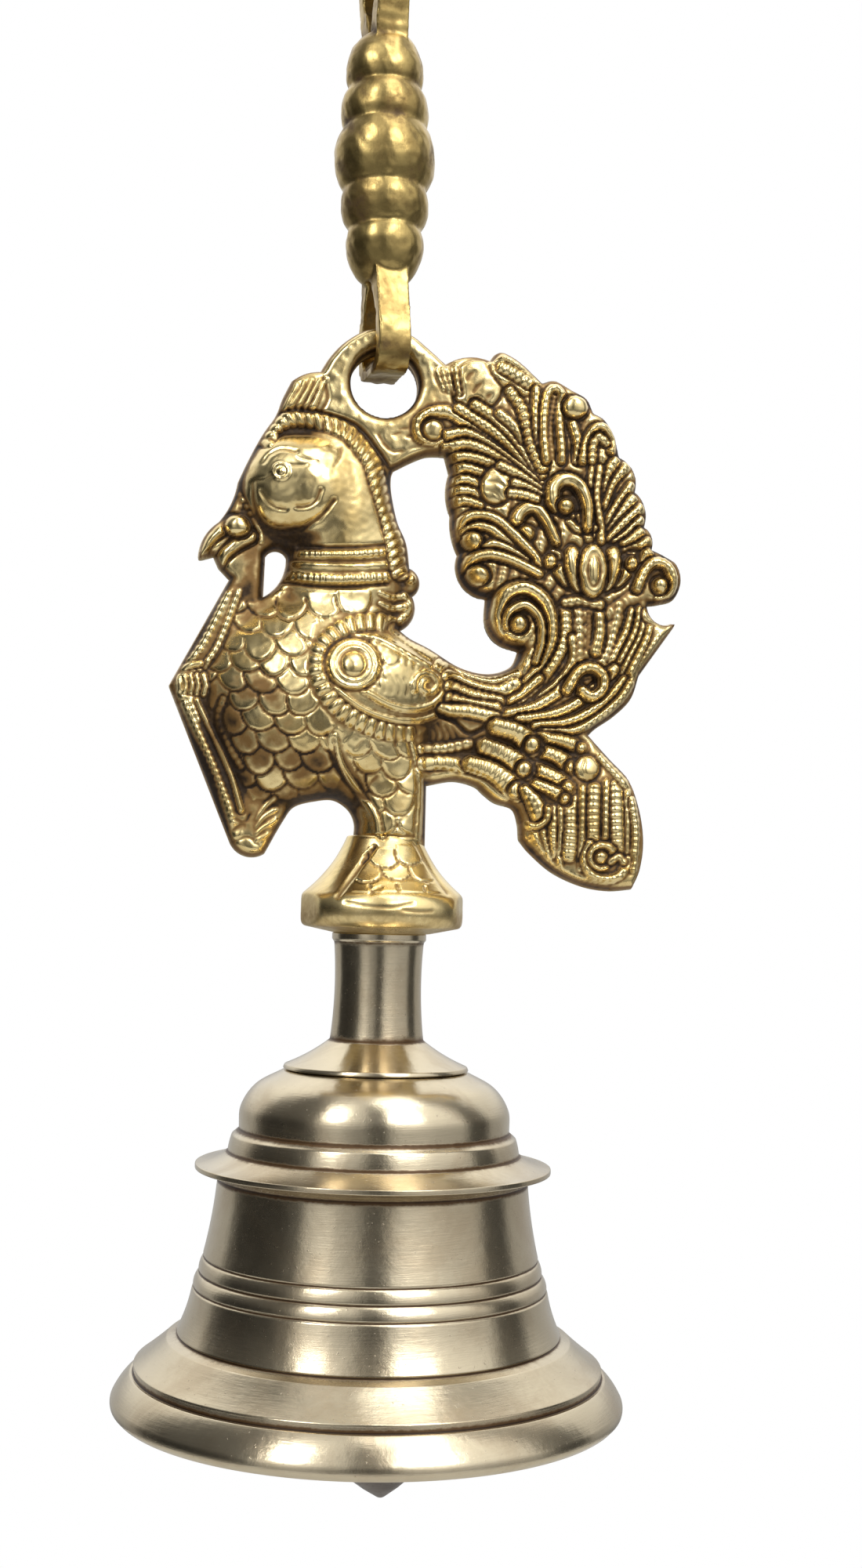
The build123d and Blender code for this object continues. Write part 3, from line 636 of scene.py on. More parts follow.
def tail_side():
    """Right-hand feathers, scrolls, the lotus and the hook."""
    for line in ([53.4, 108.6, 50.4, 104.6, 48.6, 99.2], [51, 109.8, 48.8, 106, 47.2, 100.6],
            [54.8, 104, 51.8, 99.6, 49, 94.8], [55, 101, 53, 98, 50, 93],
            [57.1, 99, 53.4, 95.6, 50.2, 91.8], [57.2, 96, 54, 92.8, 51, 90.4],
            [57, 93.4, 55, 91.6, 52.4, 90], [59, 91.4, 56, 89.6, 52.6, 88.4],
            [59.2, 88.8, 56.6, 87.4, 54, 86.6]):
        feather(line, 0.98, 1, 0.1, pitch=1.1, bite=0.45, ends=(1, 0.7), sink=0.9)
    for line in ([46, 109.6, 45.6, 104, 46.2, 98, 46.4, 92], [47.6, 108, 47, 101, 48, 95, 48.2, 91],
            [43.2, 96.5, 44.4, 93.6, 45.4, 91.2], [41, 95, 43, 93.4, 46.4, 94]):
        feather(line, 0.75, 0.8, 0, ends=(0.8, 0.9), sink=0.9)
    # two fat commas
    feather([34.2, 99.6, 35.6, 95.6, 37.2, 92.4], 0.9, 1, 0, ends=(0.8, 1), sink=1)
    strand([44.9, 94, 44.6, 99.6, 42.6, 103.8, 39.2, 104.8, 36.8, 102.4, 37.2, 99.4, 39.4, 98.2], 2.2, 2.7,
        0.3, ends=(0.5, 0.85), sink=1.5, wide=1.12)
    groove([43.4, 102.6, 41, 104.4, 38.6, 103.4, 38.2, 101.2], 0.4, 0.4)
    knob((39.9, 98.7), (1.9, 1.8), 2.5, 0.4, sink=0.6)
    strand([37.8, 90.2, 35.4, 95.2, 32.8, 97.9, 29.9, 97, 28.7, 94.2, 30, 92], 1.75, 2.4, 0.3,
        ends=(0.6, 0.9), sink=1.5, wide=1.1)
    knob((31, 92), (1.9, 1.8), 2.4, 0.4, sink=0.6)
    # scroll ends on the left, each with its bands
    strand([16, 89.6, 16.3, 93.8, 19.4, 95.6, 23.5, 95.1, 27.1, 92.6, 31.4, 88.4, 35, 84], 1.6, 1.9, 0.1,
        pitch=1.25, bite=0.3, ends=(0.7, 0.8), sink=1.2)
    strand([17.4, 91.6, 20.2, 93, 23.6, 92.2, 27.2, 89, 31.4, 85.4], 1.4, 1.7, 0.1, pitch=1.25, bite=0.3,
        ends=(0.8, 0.8), sink=1.2)
    knob((19, 89.6), (2.4, 2.2), 2.6, 0.2, sink=1.3)
    strand([22, 88.4, 23.8, 89.2, 27.6, 87.8, 31, 85.6], 1, 1.2, 0.2, pitch=2.4, bite=0.25, sink=1.2)
    strand([17.3, 82.4, 18.9, 85.4, 23, 86.6, 28.2, 85.4, 34, 82.8], 1.7, 2, 0.1, pitch=1.25, bite=0.3,
        ends=(0.8, 0.7), sink=1.2)
    knob((20.3, 81.7), (2.6, 2.3), 2.7, 0.2, sink=1.3)
    # lotus
    petals = [((39.2, 84.2), (53.4, 84.6), (2.2, 4.9), 2.1, 0.4, 32, 1.2),
        ((36.6, 85.7), (55.2, 86.2), (1.5, 1.7), 2.2, 0.2, 0, 0.8),
        ((42.4, 84.2), (50, 84.6), (2.5, 5.5), 2.5, 0.6, 14, 0.9)]
    for left, right, radii, rise, level, turn, sink in petals:
        knob(left, radii, rise, level, turn, sink)
        knob(right, radii, rise, level, -turn, sink)
    knob((46.2, 83.9), (3.3, 6.3), 2.5, 1, sink=0.9)
    groove(spiral((46.2, 84), 2.2, 2.2, 0, 1), 0.35, 0.45)
    knob((46.2, 83.8), (1.2, 3.4), 0.8, 2.7, sink=0.5)
    for line in ([41.8, 87.4, 42.4, 84, 44, 80.4], [50.8, 87.6, 50.2, 84.2, 48.4, 80.6],
            [38.4, 87.2, 40, 83.6, 42.4, 80.2], [54.2, 87.2, 52.6, 84, 50, 80.6]):
        groove(line, 0.4, 0.5)
    # hook
    strand([56.6, 80.6, 58, 84, 60, 86.4, 62.8, 86.6, 64.7, 84.2, 64.7, 80.8, 62.6, 78.7], 1.6, 2.1, 0.2,
        pitch=1.3, bite=0.3, ends=(0.8, 0.9), sink=1.4)
    knob((62, 81.4), (1.9, 2), 2.3, 0.1, sink=1.3)


def tail_root():
    """Big spiral, the stems that feed the tail, and the fin."""
    strand([28.6, 54.4, 33.4, 59.2, 36.4, 64.6, 37.3, 70.6, 35.8, 76.4, 31.2, 79.4, 26.6, 77.8, 24.1, 73.4,
        24.6, 68.4], 2.1, 2.3, 0.1, pitch=1.5, bite=0.22, ends=(0.6, 0.9), sink=1.4)
    groove([34.6, 60.8, 37.4, 66, 38.2, 71, 36.6, 77, 31.4, 80.6, 26, 79], 0.4, 0.6)
    strand([33.8, 62.4, 35, 67.6, 34.4, 72.6, 31.2, 75.4, 28, 73.8, 27.5, 70.8], 1.5, 2.1, 0.1,
        ends=(0.5, 0.9), sink=1.7)
    knob((29.8, 71), (1.9, 2.1), 2.4, 0.1, sink=1.4)
    stems = [([29, 52.6, 34.6, 57.8, 38.4, 63, 40.4, 68.4, 40.4, 75], 1, 1.3),
        ([34.4, 53.4, 40, 59, 42.4, 63.8, 42, 68], 0.8, 0), ([47.9, 75.6, 48.2, 70, 47.4, 65.4], 1, 0),
        ([55.4, 75.2, 54, 70, 51.6, 64.4, 50.4, 61], 0.7, 0), ([57.2, 75.6, 56.4, 70.6, 53.9, 65,
        51.9, 60.4], 0.7, 0), ([58.7, 73.4, 57.6, 69, 55.4, 64.4, 53.4, 60], 0.7, 0),
        ([60, 72.6, 58.9, 68.6, 56.6, 63.6, 55, 60], 0.7, 0), ([26, 52.4, 30.4, 54.8, 34.6, 58.6], 0.8, 0),
        ([27, 50.4, 33, 51.9, 38, 54.8, 41.4, 58], 0.95, 1.2), ([30.4, 49.2, 37, 50.4, 43, 53.2, 48.6, 58,
        51.6, 61.4], 0.95, 1.2), ([34, 47.9, 40.6, 48.9, 46, 51.4, 51, 55.6, 54, 59], 0.8, 0),
        ([35.4, 46.5, 42, 46.9, 47.6, 49.6, 52.8, 54.2, 55.6, 58.4], 0.8, 1.2)]
    for line, half, pitch in stems:
        feather(line, half, 1.05, 0.05, pitch=pitch, bite=0.4, ends=(0.8, 1), sink=0.9)
    beads([43.4, 74, 43.7, 69, 43.6, 63.6], 1.1, 1.8, 1.2, 0.1)
    beads([52.6, 76.6, 51.8, 72, 50.3, 66, 48.4, 61.8], 1.1, 1.6, 1.2, 0.1)
    beads([45.6, 74.6, 45.8, 70, 45.6, 66], 0.7, 1.2, 0.7, 0)
    feather([40.6, 76.4, 44, 77, 48, 76.2], 0.9, 0.8, 0.1, pitch=1.4, bite=0.3)
    feather([41, 56.4, 43.4, 60.4, 46.4, 61.6, 49, 59.8, 48.8, 56.6, 46.4, 54.9, 44.4, 56.2], 0.95, 1.5,
        0.3, sink=1.2)
    feather([59.6, 74.4, 62.4, 73.2, 64.8, 72.4], 1.1, 0.7, 0, ends=(1.2, 0.4), sink=0.5)
    beads([62.4, 69.8, 58.6, 64, 56, 59.4], 0.75, 1.35, 0.7, 0)
    # root of the tail behind the wing
    for line, pitch in (([12.4, 60.8, 18, 58, 24, 57.4, 29, 59.4], 1.3), ([14.5, 58.4, 19, 56.2, 25, 55.2,
            29, 57], 0), ([15, 55.9, 19.6, 54.2, 25.6, 53], 1.4), ([15, 53.2, 19.6, 51.9, 25, 51.4], 1.3),
            ([13.4, 50.6, 18.4, 50.6, 24.6, 49.4], 0)):
        feather(line, 1.1, 0.8, 0.1, pitch=pitch, bite=0.45, sink=0.9)
    groove([12, 49.8, 16, 48, 19.6, 45.6, 25.4, 48.4, 31.6, 48.2], 0.8, 1.2)
    for k in range(5):
        groove([9 + 1.6 * k, 48 - 0.3 * k, 10.2 + 1.6 * k, 45.4 - 0.2 * k, 10 + 1.5 * k, 43.2], 0.4, 0.45)
    feather([9, 41.6, 14, 42, 19, 43], 0.9, 0.7, 0, pitch=1.4, bite=0.3)
    feather([9.4, 38.4, 14, 38.6, 19.6, 38], 1.2, 0.8, 0, pitch=1.5, bite=0.3)


def plume():
    """Short feathers rolled like cords, then the long hanging ones."""
    long_ones = [([38.2, 28.6, 38.6, 24, 38.2, 18.6], 0.9, 1.1), ([40, 31.6, 40.4, 24, 40.2, 16.4], 0.55,
        0), ([42.4, 33.4, 42.6, 26, 42.2, 18.6], 1.15, 1.2), ([45, 34, 45.1, 26, 45.1, 15.8], 0.6, 0),
        ([47.8, 33.8, 47.6, 28, 47.9, 21.4], 1.15, 1.2), ([50.4, 35.4, 50.4, 28, 50.2, 21.6], 0.6, 0),
        ([53, 34.6, 53, 28, 53.4, 20.4], 1.2, 1.2), ([55.1, 35, 55.6, 28, 55.8, 18], 0.55, 0),
        ([56.6, 31.4, 57.3, 24, 56.8, 16], 0.75, 1.1), ([36, 24, 36.6, 20.6, 37.6, 17.2], 0.6, 1.2),
        ([34, 24.4, 34.6, 22, 35.6, 19.2], 0.7, 0)]
    for line, half, pitch in long_ones:
        feather(line, half, 0.8, 0, pitch=pitch, bite=0.4, sink=0.7)
    feather([46.9, 21, 45.9, 17.4, 47.4, 14.2, 50.6, 13.2, 54, 14.6, 55.2, 17.6], 0.8, 0.9, 0.1, sink=0.8)
    feather(spiral((49.6, 18.2), 2.9, 1, 40, 1.3), 0.75, 0.9, 0.2, sink=0.6)
    knob((49.5, 18.3), (1.5, 1.5), 1.1, 0.2)
    feather([51.8, 17.4, 53.4, 18.6, 54.6, 17.4], 0.6, 0.5, 0)
    beads([33.2, 21.4, 38.6, 16.4, 44.6, 13.5, 51, 12.4], 0.6, 1.2, 0.5, 0)
    rolls = [([34.6, 45.2, 40, 44.6, 44.6, 43.2], 1.2), ([34.2, 42.4, 38.6, 41.2, 42.4, 38.8], 1.4),
        ([33, 38.2, 37.4, 36.6, 41.6, 34], 1.5), ([34.4, 34.6, 38, 33.2, 41, 31.4], 1.1),
        ([25.4, 47.2, 29.8, 46, 33.3, 43.4], 1.85), ([22.8, 42.6, 27.6, 40.8, 31.6, 37.8], 1.85),
        ([19.8, 38.6, 24.8, 37, 30, 33], 1.85)]
    for line, half in rolls:
        feather(line, half, 1.35, 0.1, pitch=1.15, bite=0.4, ends=(0.8, 1), sink=1.1)
        knob(line[-2:], (half * 0.95, half * 1.05), 1.3, 0.15, turn=-35, sink=0.6)
    feather([32, 33, 34, 30.4, 35.4, 27.4], 1.9, 1.2, 0.1, ends=(0.5, 0.8), sink=1, wide=1.15)
    feather([32.4, 25.2, 34.6, 24.9, 36.8, 26.4, 37.2, 29], 0.6, 0.8, 0.1)
    knob((46, 38.6), (2.8, 2.9), 1.4, 0.1, sink=1.1)
    groove([45, 40.4, 44.4, 38.2, 45.6, 36.4, 47.6, 36.8], 0.5, 0.6)
    feather([49.4, 41, 52.4, 38, 54.6, 35.4], 0.8, 0.6, 0, pitch=1.3, bite=0.4)


# centre, half sizes and strength of brown patina that polishing has not reached, and of painted shade under
# the cheek and on the lower breast
STAINS_AND_SHADE = [((-32, 41), (13, 22), 0.8), ((-20, 33), (20, 9), 0.85), ((-32, 81), (7, 12), 0.75),
    ((-22, 87.5), (8, 4.5), 0.8), ((-40, 56), (6, 26), 0.3), ((40, 92), (34, 46), 0.4),
    ((24, 47), (20, 11), 0.4), ((40, 39), (18, 9), 0.3), ((20, 124), (11, 8), 0.25),
    ((-2, 124), (13, 12), 0.33), ((2, 76), (6, 9), 0.35), ((-20, 121), (7, 8), 0.15),
    ((-34, 96), (5, 7), 0.4), ((44, 24), (18, 16), 0.24), ((-28, 22), (7, 6), 0.3),
    ((1, 104), (9, 16), 0.15), ((4, 28), (10, 9), 0.15)]


# brown patina, and painted shade under the cheek and on the lower breast, for the bird's finish
def patina_and_shade():
    for (cu, cv), (ru, rv), strength in STAINS_AND_SHADE:
        out = np.hypot((U - cu) / ru, (V - cv) / rv)
        stain_and_shade[...] = np.maximum(stain_and_shade, strength * np.clip(1.25 * (1 - out**2), 0, 1))
    uneven = blur(random.normal(size=U.shape), 2.4)
    stain_and_shade[...] *= 1 + 0.3 * uneven / uneven.std()


def pedestal_marks():
    """Cuts on the front of the pedestal."""
    slope = inside([-8, 9, -2.6, 21, 6.6, 21, 12, 9.4])
    scale_rows(slope, staggered((-7, 14), (11.2, 21), 6.4, 3.6), 3.5, 3.4, 0.32)
    for line, half in (([-2.5, 18.8, -6.4, 13.6, -10.8, 7.9], 0.75), ([7, 20, 10, 14.8, 13.6, 9.4], 0.8)):
        groove(line, half, 0.8)
    for line in ([-9.2, 6.7, -4, 5.9, 0.6, 5.8, 5.2, 6.8], [3, 5.3, 6.4, 5, 9.6, 5.2]):
        groove(line, 0.4, 0.35)
    chip([-5.6, 15, -2, 18.8], 0.8, 0.5)
    chip([-4.2, 8.2, -1, 10.2], 0.7, 0.4)


for ornament in (feather_coat, neck, wing, strap, head, tail_ground, tail_root, tail_side, tail_fan, plume,
        pedestal_marks, patina_and_shade):
    ornament()


# ------------------------------------------------------------------ bird: mesh
def worn_cast(half):
    """Height map with its finest edges rubbed down and a little unevenness, as handled castings have."""
    rubbed = 0.35 * half + 0.65 * blur(half, 0.3)
    rough = blur(random.normal(size=half.shape), 0.45)
    broad = blur(random.normal(size=half.shape), 3.2)
    return rubbed + 0.03 * rough / rough.std() + 0.07 * broad / broad.std()


def seated(values):
    """Values drawn as they are seen on the middle plane, carried by the line of sight to the swollen face."""
    deep = thickness()
    share = deep / (-VIEWPOINT[1] - deep)
    x = U + AXIS_SHIFT + (V - BIRD_HEIGHT) * math.sin(math.radians(BELL_TILT))
    z = V - BIRD_HEIGHT + PIVOT.z / MM
    return sampled(values, U + share * (x - VIEWPOINT[0]), V + share * (z - VIEWPOINT[2]))


def bird_heights():
    """Half thickness over the map, distance inside the outline, and how dark each cell is made: its depth in
    a recess, plus brown patina and painted shade from the stain map.
    """
    outlines = [traced(BIRD_OUTLINE), traced(TAIL_GAP), traced(BEAK_GAP)]
    solid = inside(outlines[0]) & ~inside(outlines[1]) & ~inside(outlines[2])
    bore = np.hypot(U - RING[0], V - RING[1]) - RING_R
    solid &= bore > 0
    depth = np.minimum.reduce([distance_to(points) for points in outlines] + [np.abs(bore)])
    full = thickness() + seated(relief)
    by_bore = bore < RING_BAR
    rim = np.where(by_bore, 2.0, 1.3)
    reach = np.where(by_bore, 2.4, 1.8 + 0.5 * np.clip(full - PLATE, 0, 6))
    ramp = np.clip(depth / reach, 0, 1)
    half = worn_cast(rim + np.maximum(full - rim, 0) * np.sqrt(ramp * (2 - ramp)))
    filled = np.where(solid, half, 3.4)
    hollow_and_shade = 1.5 * (blur(filled, 0.6) - filled) + 0.6 * (blur(filled, 2.0) - filled) + 0.1
    hollow_and_shade *= np.where(by_bore, 1, np.clip(0.3 + depth / 1.6, 0, 1))
    # the stain map adds brown patina and painted shade under the cheek and on the lower breast
    return half, np.where(solid, depth, -depth), np.clip(hollow_and_shade + seated(stain_and_shade), 0, 1)


def bird_sheet():
    """Vertices, faces, and recess depth with patina and painted shade, of the two faces of the casting and
    the wall between them.
    """
    half, depth, hollow_and_shade = bird_heights()
    rows, cols = U.shape
    corner = -np.ones(U.shape, int)
    held = depth > 0
    corner[held] = np.arange(held.sum())
    points = [np.column_stack([U[held], V[held], half[held], hollow_and_shade[held]])]
    count = held.sum()
    crossings = []
    for dr, dc in ((0, 1), (1, 0)):
        a = (slice(0, rows - dr), slice(0, cols - dc))
        b = (slice(dr, rows), slice(dc, cols))
        cut = held[a] != held[b]
        share = np.clip(depth[a] / np.where(cut, depth[a] - depth[b], 1), 0.04, 0.96)[cut]
        index = -np.ones(U.shape, int)
        index[a][cut] = count + np.arange(cut.sum())
        made = [(1 - share) * m[a][cut] + share * m[b][cut] for m in (U, V)]
        # each crossing takes the recess depth, patina and painted shade of its inner corner
        thick, worn = (np.where(held[a][cut], m[a][cut], m[b][cut]) for m in (half, hollow_and_shade))
        made += [np.minimum(thick, EDGE), worn]
        points.append(np.column_stack(made))
        crossings.append(index)
        count += cut.sum()
    level, upright = crossings
    points = np.vstack(points)
    # corners and crossings of every cell in turn, anticlockwise from the lower left
    ring = [corner[:-1, :-1], level[:-1, :-1], corner[:-1, 1:], upright[:-1, 1:],
            corner[1:, 1:], level[1:, :-1], corner[1:, :-1], upright[:-1, :-1]]
    pattern = sum((ring[2 * k] >= 0).astype(int) << k for k in range(4))
    front, edges = [], []
    for case in range(1, 16):
        cells = pattern == case
        if not cells.any():
            continue
        order = []
        for k in range(4):
            here, after = bool(case >> k & 1), bool(case >> (k + 1) % 4 & 1)
            if here:
                order.append(2 * k)
            if here != after:
                order.append(2 * k + 1)
        table = np.column_stack([ring[k][cells] for k in order])
        front += table.tolist()
        for a, b, ka, kb in zip(table.T, np.roll(table.T, -1, axis=0), order, order[1:] + order[:1]):
            if ka % 2 and kb % 2:
                edges.append(np.column_stack([a, b]))
    edges = np.vstack(edges)
    n = len(points)
    vertices = np.vstack([np.column_stack([points[:, 0], side * points[:, 2],
        points[:, 1]]) for side in (-1, 1)])
    back = [[n + k for k in reversed(face)] for face in front]
    # the wall bulges a little between the two faces, less inside the hanging hole
    first = int(held.sum())
    u, v, hollows_and_shade = points[first:, 0], points[first:, 1], points[first:, 3]
    away_v, away_u = np.gradient(-depth)
    steep = np.maximum(np.hypot(away_u, away_v), 1e-6)
    push = np.where(np.hypot(u - RING[0], v - RING[1]) < RING_R + 1.5, BORE_BULGE, WALL_BULGE)
    middle = np.column_stack([u + push * sampled(away_u / steep, u, v), 0 * u,
        v + push * sampled(away_v / steep, u, v)])
    vertices = np.vstack([vertices, middle])
    a, b = edges.T
    mid_a, mid_b = 2 * n + a - first, 2 * n + b - first
    wall = np.vstack([np.column_stack([b, a, mid_a, mid_b]), np.column_stack([mid_b, mid_a,
        n + a, n + b])]).tolist()
    return vertices, front + back + wall, np.r_[points[:, 3], points[:, 3], 0.25 * hollows_and_shade]


def sampled(values, u, v):
    """Value of a map at scattered places, between its cells."""
    x = np.clip((u - ORIGIN[0]) / STEP, 0, U.shape[1] - 2)
    y = np.clip((v - ORIGIN[1]) / STEP, 0, U.shape[0] - 2)
    c, r = x.astype(int), y.astype(int)
    fx, fy = x - c, y - r
    low = values[r, c] * (1 - fx) + values[r, c + 1] * fx
    high = values[r + 1, c] * (1 - fx) + values[r + 1, c + 1] * fx
    return low * (1 - fy) + high * fy


FOOT_SHIFT = 0.5        # from the bird's origin to the foot's axis
FOOT_FLATS = 18.4       # from the foot's axis to its cut ends
FOOT_PROFILE = chained((0, 0), [10.6, 0], [17.4, 1.4], [19.4, 4.6, 18, 8.6], [12, 14.8, 8.2, 21.6], [0, 21.6],
    [0, 0])


def pedestal_shell():
    """Pedestal below the leg: a turned foot cut flat at its two ends, with the front's cuts carved in."""
    line = blurred_ring(resampled(traced(FOOT_PROFILE), lambda long: np.arange(0, long, 0.3))[1], 1)
    line = line[line[:, 0] > 0.4]
    segments = 360
    turns = np.arange(segments) * math.tau / segments
    radius = np.repeat(line[:, :1], segments, axis=1)
    for side in (0, 180):
        for turn in (-15, 15):
            facing = np.cos(turns - math.radians(side + turn))
            flat = FOOT_FLATS * math.cos(math.radians(turn)) / np.maximum(facing, 0.05)
            radius = np.where(facing > 0.05, -np.log(np.exp(-3 * radius) + np.exp(-3 * flat)) / 3, radius)
    height = np.repeat(line[:, 1:], segments, axis=1)
    x, y = radius * np.cos(turns) + FOOT_SHIFT, radius * np.sin(turns)
    bare = np.clip(relief, -1.2, 0.6)
    facing = np.clip(np.abs(np.sin(turns)) * 1.6 - 0.5, 0, 1)
    cut = sampled(bare, x, height) * facing * ((height > 2.0) & (height < 21.4))
    uneven = sampled(blur(random.normal(size=U.shape), 2.6), 40 * turns / math.tau - 20 + 0 * height,
        60 + 2 * height)
    grow = 1 + (cut + 0.9 * uneven) / np.maximum(radius, 4)
    around = sampled(np.clip(blur(bare, 0.9) - bare, 0, 1), x, height) * facing * 1.6
    # the foot also turns darker towards its bottom edge
    around = around + np.clip((7 - height) / 3, 0, 1) * np.clip(0.28 + uneven, 0, 1)
    x = (x - FOOT_SHIFT) * grow + FOOT_SHIFT
    vertices = np.column_stack([x.ravel(), (y * grow).ravel(), height.ravel()])
    n = len(line)
    faces = between_rings(n - 1, n, segments)
    faces += [list(range(segments))[::-1], [(n - 1) * segments + k for k in range(segments)]]
    return vertices, faces, around.ravel()


def bird():
    sheet, faces, hollow_and_shade = bird_sheet()
    sheet[:, 0] += TAIL_SHIFT * np.clip((sheet[:, 0] - 15) / 40, 0, 1)
    foot, foot_faces, foot_darkening = pedestal_shell()
    first = len(sheet)
    faces = faces + [[first + k for k in face] for face in foot_faces]
    return new_mesh("cast_bird", np.vstack([sheet, foot]), faces, BIRD_FRAME, np.r_[hollow_and_shade, foot_darkening])


# ------------------------------------------------------------------ bell, sleeve and clapper
SLEEVE_PROFILE = chained(
    (3.4, 73.2), [19.6, 73.2], [20.6, 73.6], [20.3, 74.4], [14.6, 77.2, 10.4, 80.1], [9.7, 88.8, 10, 101.6],
    [10.5, 102.2], [10.5, 103.6], [3.4, 103.6], [3.4, 73.2])
BELL_PROFILE = chained(
    (49.6, 0.4), [54.7, 0.4], [55.6, 1.3], [55.8, 2.6, 55.3, 4], [53.8, 6.3, 51.8, 8.3], [50.9, 8.3],
    [51.1, 10], [47.5, 12.7, 44.2, 15.5], [42.3, 16.1], [41.6, 16.4], [42, 16.8], [40.2, 21.2, 39, 26],
    [38.5, 26.4], [38.8, 26.8], [38.5, 28.2, 37.9, 29.2], [37.4, 29.6], [37.7, 30], [37.5, 31.2, 37, 32.4],
    [36.5, 32.8], [36.8, 33.2], [35.2, 41.2, 34.2, 49.6], [36.2, 50.8, 39.2, 51.7], [39.2, 52.8],
    [35.2, 53.8, 32.2, 55.4], [31.9, 57.2, 31.4, 59], [29.9, 60.2], [29.6, 65.2, 26.4, 69.9, 20.4, 73.2],
    [3.4, 73.2], [3.4, 69.6], [14, 69.6], [21.2, 67.4, 24.8, 62.6, 25.6, 56],
    [29.2, 46, 31.8, 32, 34.8, 22, 40.4, 11.6, 46.8, 4, 49.6, 0.4])
BOB_PROFILE = chained(
    (0, 0), [0.7, 0.1], [4.2, 2.5], [9.4, 7, 12.2, 12, 12.6, 16, 10.8, 21.6, 7, 28, 4.6, 34],
    [5.4, 35.2, 5.4, 36.4], [4.2, 38], [0, 38], [0, 0])
LINK_FOOT, LINK_MIDDLE = 19.4, 48.3     # from the pivot up to the turned body, and to its largest bead
LINK_CORE = chained(
    (0, LINK_FOOT), [5, LINK_FOOT], [6.8, 21.4, 8.3, 24.4], [9, 27.6, 8.7, 30.6], [8.2, 31.7], [9, 33],
    [10.1, 36.6, 9.9, 39.6], [9.5, 41], [10.7, 43.2, 11.6, LINK_MIDDLE])
LINK_SLIMMED = 0.8      # off the lower bar


def clapper_frame():
    """Frame of the clapper's bob: its tip at the origin, its axis leaning from the hook that carries it."""
    hook, seat = JOINTS["clapper_swing"], JOINTS["ring_turn"]
    depth = (BELL_FRAME.inverted() @ seat).z + TIP_DROP * MM
    lean = Matrix.Translation(hook) @ Matrix.Rotation(math.radians(-CLAPPER_LEAN), 4, "Y")
    return lean @ Matrix.Translation(Vector((0, 0, seat.z - hook.z - depth)))


# ------------------------------------------------------------------ link and other forged pieces
def evaluated(source, kind, **settings):
    """Mesh of an object after one modifier."""
    made = source.modifiers.new(kind.lower(), kind)
    for key, value in settings.items():
        setattr(made, key, value)
    graph = bpy.context.evaluated_depsgraph_get()
    mesh = bpy.data.meshes.new_from_object(source.evaluated_get(graph))
    source.modifiers.clear()
    return mesh


def coordinates(mesh):
    flat = np.empty(3 * len(mesh.vertices), np.float64)
    mesh.vertices.foreach_get("co", flat)
    return flat.reshape(-1, 3)


def normals(mesh):
    flat = np.empty(3 * len(mesh.vertices), np.float32)
    mesh.vertex_normals.foreach_get("vector", flat)
    return flat.reshape(-1, 3)


def waves(points, size):
    """Smooth uneven field over points in metres, about -1 to 1, with bumps of about the size in mm."""
    count = 24
    total = np.zeros(len(points))
    for _ in range(count):
        way = random.normal(size=3)
        way *= random.uniform(0.6, 1.4) * math.tau / (size * MM) / np.linalg.norm(way)
        total += np.sin(points @ way + random.uniform(0, math.tau))
    return total / math.sqrt(count)


def forged(cad_node, name, voxel, rounds, uneven, bump_size, core=None):
    """Copy of a CAD node with a core melted in, its edges softened and its surface a little uneven."""
    source = frame["nodes"][cad_node]
    made = added(name, source.data.copy())
    made.matrix_world = source.matrix_world.copy()
    if core:
        core.data.transform(source.matrix_world.inverted() @ core.matrix_world)
        corners = [coordinates(mesh) for mesh in (made.data, core.data)]
        faces = [list(face.vertices) for face in made.data.polygons]
        faces += [[len(corners[0]) + k for k in face.vertices] for face in core.data.polygons]
        made.data = bpy.data.meshes.new(name)
        made.data.from_pydata(np.vstack(corners).tolist(), [], faces)
        bpy.data.objects.remove(core)
    made.data = evaluated(made, "REMESH", mode="VOXEL", voxel_size=voxel * MM)
    soft = evaluated(made, "SMOOTH", factor=0.5, iterations=rounds)
    softer = evaluated(made, "SMOOTH", factor=0.5, iterations=5 * rounds)
    out, at = normals(soft), coordinates(soft)
    hollow_and_shade = np.sum((coordinates(softer) - at) * out, axis=1) / MM * 2.6
    world = placed(at, made.matrix_world)
    bumps = 0.7 * waves(world, bump_size) + 0.3 * waves(world, bump_size / 3)
    push = uneven * MM * bumps - 0.5 * uneven * MM
    soft.vertices.foreach_set("co", (at + out * push[:, None]).ravel())
    hollow_and_shade -= 1.2 * push / MM
    mark_hollows_and_shade(soft, np.clip(hollow_and_shade, 0, 1))
    soft.shade_smooth()
    made.data = soft
    made.data.materials.clear()
    return made


